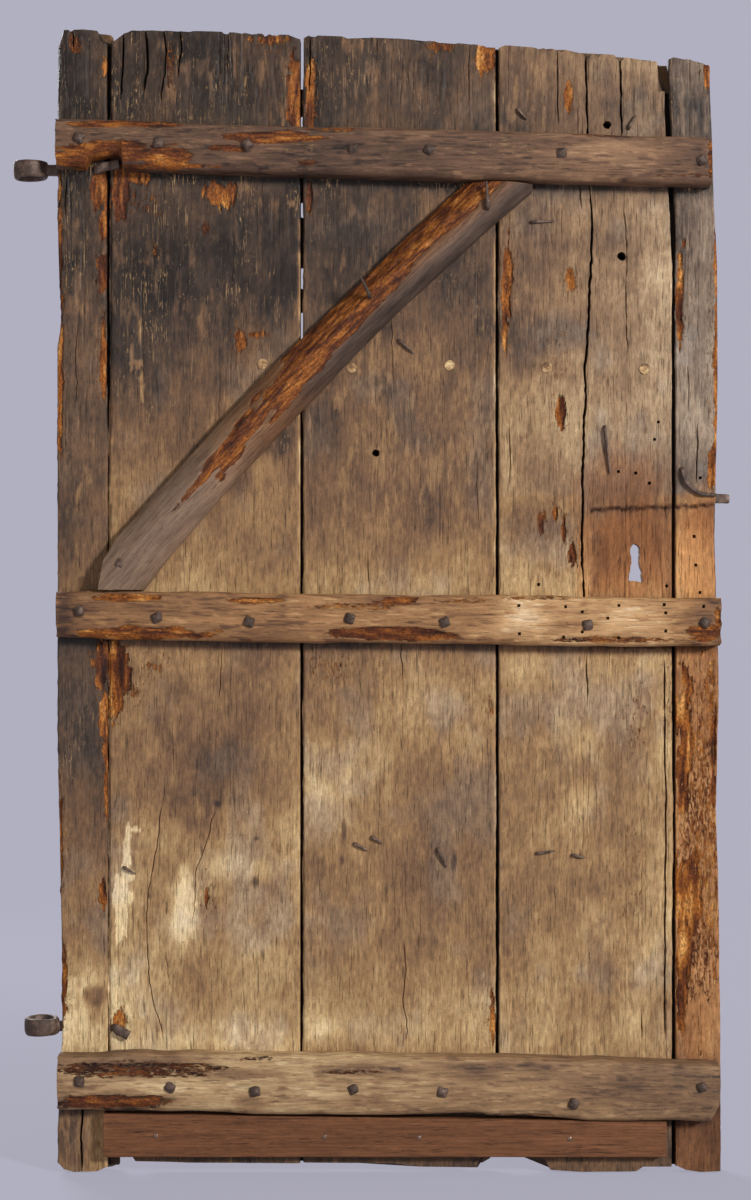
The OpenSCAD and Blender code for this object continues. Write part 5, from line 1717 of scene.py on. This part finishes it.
class PLANK_DOOR_OT_clenched_nails(bpy.types.Operator):
    """Build the nails driven from the rear, with their points bent over on the ledged face"""

    bl_idname = "plank_door.clenched_nails"
    bl_label = "Clenched nails"

    def execute(self, context):
        parts = []
        first = SEEDS["clenched_nails"]
        for seed, points in enumerate(separate_solids("clenched_nails"), first):
            rear, front = points[points[:, 1] > REAR_Y + 0.5], points[points[:, 1] < FACE_Y - 0.5]
            x, z = (rear.min(0) + rear.max(0))[[0, 2]] / 2
            parts.append(tube(rose_head(x, REAR_Y, z, *REAR_HEAD, 0.3, seed, 1.0)))
            tip = farthest(front, x, z)
            way = np.array(tip) - (x, z)
            wide = np.ptp(front[:, [0, 2]] @ (-way[1], way[0])) / np.hypot(*way)
            parts.append(tube(face_bar(x, z, tip, FACE_Y + 0.6, 1.1 * wide, FACE_POINT_D, seed, 2.0)))
        build_iron("clenched_nails_iron", "clenched_nails", parts, forged_iron(), first, lift=0.12)
        return {"FINISHED"}


class PLANK_DOOR_OT_bent_spike(bpy.types.Operator):
    """Build the spike that is hammered over in a bow on the lock stile"""

    bl_idname = "plank_door.bent_spike"
    bl_label = "Bent spike"

    def execute(self, context):
        low, high = corners("bent_spike")
        y = FACE_Y - 3.0
        path = smooth_path(
            [
                (low[0] + 3.0, FACE_Y + 8.0, high[2] - 3.0),
                (low[0] + 3.4, y, high[2] - 4.0),
                (low[0] + 9.0, y - 1.5, high[2] - 22.0),
                (low[0] + 26.0, y - 1.0, low[2] + 7.0),
                (high[0] - 14.0, y, low[2] + 3.4),
                (high[0] - 2.0, y + 0.5, low[2] + 3.2),
            ],
            40,
        )
        taper = np.interp(np.linspace(0, 1, 40), (0, 0.3, 0.7, 1), (5.0, 6.2, 6.0, 4.4))
        seed = SEEDS["bent_spike"]
        spike = tube(swept(path, taper, taper, (0, -1, 0), seed))
        build_iron("bent_spike_iron", "bent_spike", [spike], forged_iron(), seed)
        return {"FINISHED"}


class PLANK_DOOR_OT_latch_bar(bpy.types.Operator):
    """Build the stub of the latch bar in the lock edge"""

    bl_idname = "plank_door.latch_bar"
    bl_label = "Latch bar"

    def execute(self, context):
        low, high = corners("latch_bar")
        middle = (low + high) / 2
        reach = np.linspace(low[0], high[0] - 0.6, 26)
        path = np.stack([reach, np.full(26, middle[1]), np.full(26, middle[2])], 1)
        worn = np.interp(np.linspace(0, 1, 26), (0, 0.94, 1), (1.0, 0.98, 0.86))
        seed = SEEDS["latch_bar"]
        rings = swept(path, LATCH_BAR[0] * worn, LATCH_BAR[1] * worn, (0, 0, 1), seed, 18, 5.0)
        build_iron("latch_bar_iron", "latch_bar", [tube(rings)], forged_iron(), seed, lift=0.12)
        return {"FINISHED"}


class PLANK_DOOR_OT_pegs(bpy.types.Operator):
    """Build the wooden pegs that plug old holes in the boards"""

    bl_idname = "plank_door.pegs"
    bl_label = "Pegs"

    def execute(self, context):
        parts = []
        angle = np.linspace(0.0, 2 * math.pi, 30, endpoint=False)
        first = SEEDS["pegs"]
        steps = [(1.0, REAR_Y), (1.0, FACE_Y + 1.5), (0.97, FACE_Y - 0.4), (0.86, FACE_Y - 0.9)]
        steps += [(share, FACE_Y - 0.7) for share in (0.7, 0.5, 0.3, 0.12)]
        share, depth = np.array(steps).T[..., None]
        for seed, points in enumerate(separate_solids("wooden_pegs"), first):
            x, z = (points.min(0) + points.max(0))[[0, 2]] / 2
            rim = PEG_R * (1 + 0.07 * noise(angle * 1.3, angle * 0 + seed, seed))
            y = depth + 0.5 * noise(angle * 2, angle * 0 + 5 * share, seed + 9)
            rings = np.stack([x + rim * share * np.cos(angle), y, z + rim * share * np.sin(angle)], -1)
            parts.append(tube(rings))
        made = mesh_object("wooden_pegs_wood", *joined(parts))
        points = vertices(made)
        seam = np.tile(np.repeat(np.where(share.ravel() > 0.9, -0.4, 0.0), len(angle)), len(parts))
        tone = 0.62 + seam + 0.5 * fibres(points[:, 0], points[:, 2], 5.0, 5.0, first + 10)
        tone = np.clip(tone + 0.1 * fibres(points[:, 0], points[:, 2], 40.0, 40.0, first + 11), 0.0, 1.0)
        paint(made, shade(stops(*OAK), tone), np.full(len(points), 0.2))
        paint(made, shade(stops(*OAK), tone), np.zeros(len(points)), BARE)
        settle(made, "wooden_pegs", peg_wood())
        return {"FINISHED"}


# Stage, in metres: the point of the face that camera and lights look at, each light's offset from it and
# width, the floor's reach from the leaf and its gap under it, and the distances over which the floor fades
# from a share of the plain background colour to the whole of it
AIM = (0.502, FACE_Y * MM, 0.641)
LIGHTS = {
    "key": ((5.0, -5.4, 2.3), 1.1),
    "fill": ((-1.6, -3.0, -0.2), 2.4),
    "back": ((-2.4, 4.6, 2.6), 2.4),
}
FLOOR_REACH = 9.0
FLOOR_GAP = 0.002
FLOOR_FADE = (0.8, 3.2)
FLOOR_PLAIN = (0.75, 1.0)


class PLANK_DOOR_OT_stage(bpy.types.Operator):
    """Build the floor, background, lights and camera"""

    bl_idname = "plank_door.stage"
    bl_label = "Stage"

    def execute(self, context):
        scene = context.scene
        settings = scene.plank_door_stage
        low, high = [np.array(corner) for corner in CAD_BOX]
        pale = (*scene.plank_door_colours.background, 1.0)
        floor = level_floor((low + high) / 2, low[2] - FLOOR_GAP)
        floor.data.materials.append(floor_material(pale, (low + high) / 2))
        aim = Vector(AIM)
        for name, (away, wide) in LIGHTS.items():
            add_light(name, aim, away, wide, getattr(settings, name))
        scene.world = studio_world(pale, settings.sky)
        camera = bpy.data.objects.new("camera", bpy.data.cameras.new("camera"))
        camera.data.lens = settings.lens
        camera.location = aim - Vector((0.0, settings.distance, 0.0))
        camera.rotation_euler = (math.pi / 2, 0.0, 0.0)
        scene.collection.objects.link(camera)
        scene.camera = camera
        scene.view_settings.view_transform = "Standard"
        return {"FINISHED"}


def level_floor(middle, level):
    """Level disc: radius and turn round the leaf's middle, at one height, all in metres."""
    turn = np.linspace(0.0, 2 * math.pi, 48, endpoint=False)
    x, y = middle[0] + FLOOR_REACH * np.cos(turn), middle[1] + FLOOR_REACH * np.sin(turn)
    rim = np.stack([x, y, np.full(len(turn), level)], 1)
    return mesh_object("floor", rim / MM, [list(range(len(turn)))])


def plain_sight(tree):
    """1 for rays from the camera, a mirror or a glass, which see the plain background, and 0 for light."""
    path = add_node(tree, "ShaderNodeLightPath")
    share = path.outputs["Is Camera Ray"]
    for ray in ("Is Glossy Ray", "Is Transmission Ray"):
        share = add_node(tree, "ShaderNodeMath", {0: share, 1: path.outputs[ray]}, operation="MAXIMUM")
    return share


def floor_material(colour, middle):
    """Matt paper: an even colour that keeps the leaf's soft shadow near it and fades into the background."""
    material = bpy.data.materials.new("paper_floor_matt")
    tree = empty_tree(material)
    place = add_node(tree, "ShaderNodeTexCoord").outputs["Object"]
    away = add_node(tree, "ShaderNodeVectorMath", {0: place, 1: (*middle[:2], 0.0)}, operation="DISTANCE")
    away = away.outputs["Value"]
    even = add_node(tree, "ShaderNodeMapRange", enumerate((away, *FLOOR_FADE, *FLOOR_PLAIN)))
    plain = add_node(tree, "ShaderNodeEmission", {"Color": colour, "Strength": 1.0})
    matt = add_node(tree, "ShaderNodeBsdfDiffuse", {"Color": colour})
    share = add_node(tree, "ShaderNodeMath", {0: plain_sight(tree), 1: even}, operation="MULTIPLY")
    both = add_node(tree, "ShaderNodeMixShader", {0: share, 1: matt, 2: plain})
    add_node(tree, "ShaderNodeOutputMaterial", {"Surface": both})
    return material


def studio_world(colour, strength):
    """Even white light all round, behind which the plain background colour is seen."""
    world = bpy.data.worlds.new("studio")
    tree = empty_tree(world)
    light = add_node(tree, "ShaderNodeBackground", {"Color": (1.0, 1.0, 1.0, 1.0), "Strength": strength})
    seen = add_node(tree, "ShaderNodeBackground", {"Color": colour, "Strength": 1.0})
    both = add_node(tree, "ShaderNodeMixShader", {0: plain_sight(tree), 1: light, 2: seen})
    add_node(tree, "ShaderNodeOutputWorld", {"Surface": both})
    return world


def add_light(name, aim, away, wide, power):
    """A square soft light at an offset from a point, turned to it."""
    lamp = bpy.data.lights.new(name, "AREA")
    lamp.size, lamp.energy = wide, power
    made = bpy.data.objects.new(name, lamp)
    made.location = aim + Vector(away)
    made.rotation_euler = (-Vector(away)).to_track_quat("-Z", "Y").to_euler()
    bpy.context.scene.collection.objects.link(made)


OPERATORS = (
    PLANK_DOOR_OT_uprights,
    PLANK_DOOR_OT_ledges,
    PLANK_DOOR_OT_foot_board,
    PLANK_DOOR_OT_brace,
    PLANK_DOOR_OT_hinge_eyes,
    PLANK_DOOR_OT_ledge_nails,
    PLANK_DOOR_OT_brace_nails,
    PLANK_DOOR_OT_foot_board_nails,
    PLANK_DOOR_OT_clenched_nails,
    PLANK_DOOR_OT_bent_spike,
    PLANK_DOOR_OT_latch_bar,
    PLANK_DOOR_OT_pegs,
    PLANK_DOOR_OT_stage,
)
GROUPS = {
    "plank_door_sizes": PlankDoorSizes,
    "plank_door_colours": PlankDoorColours,
    "plank_door_stage": PlankDoorStage,
}


class VIEW3D_PT_plank_door(bpy.types.Panel):
    """Sidebar panel with the pieces and their settings"""

    bl_label = "Plank Door"
    bl_space_type = "VIEW_3D"
    bl_region_type = "UI"
    bl_category = "Plank Door"

    def draw(self, context):
        for operator in OPERATORS:
            self.layout.operator(operator.bl_idname)
        for name, group in GROUPS.items():
            box = self.layout.box()
            for setting in group.__annotations__:
                box.prop(getattr(context.scene, name), setting)


def register():
    """Registers the settings, the operators and the panel."""
    for name, group in GROUPS.items():
        bpy.utils.register_class(group)
        setattr(bpy.types.Scene, name, bpy.props.PointerProperty(type=group))
    for operator in OPERATORS:
        bpy.utils.register_class(operator)
    bpy.utils.register_class(VIEW3D_PT_plank_door)


def unregister():
    """Takes the panel, the operators and the settings away again."""
    bpy.utils.unregister_class(VIEW3D_PT_plank_door)
    for operator in reversed(OPERATORS):
        bpy.utils.unregister_class(operator)
    for name, group in reversed(GROUPS.items()):
        delattr(bpy.types.Scene, name)
        bpy.utils.unregister_class(group)


def main():
    register()
    bpy.ops.plank_door.uprights()
    bpy.ops.plank_door.ledges()
    bpy.ops.plank_door.foot_board()
    bpy.ops.plank_door.brace()
    bpy.ops.plank_door.hinge_eyes()
    bpy.ops.plank_door.ledge_nails()
    bpy.ops.plank_door.brace_nails()
    bpy.ops.plank_door.foot_board_nails()
    bpy.ops.plank_door.clenched_nails()
    bpy.ops.plank_door.bent_spike()
    bpy.ops.plank_door.latch_bar()
    bpy.ops.plank_door.pegs()
    bpy.ops.plank_door.stage()


if __name__ == "__main__":
    main()
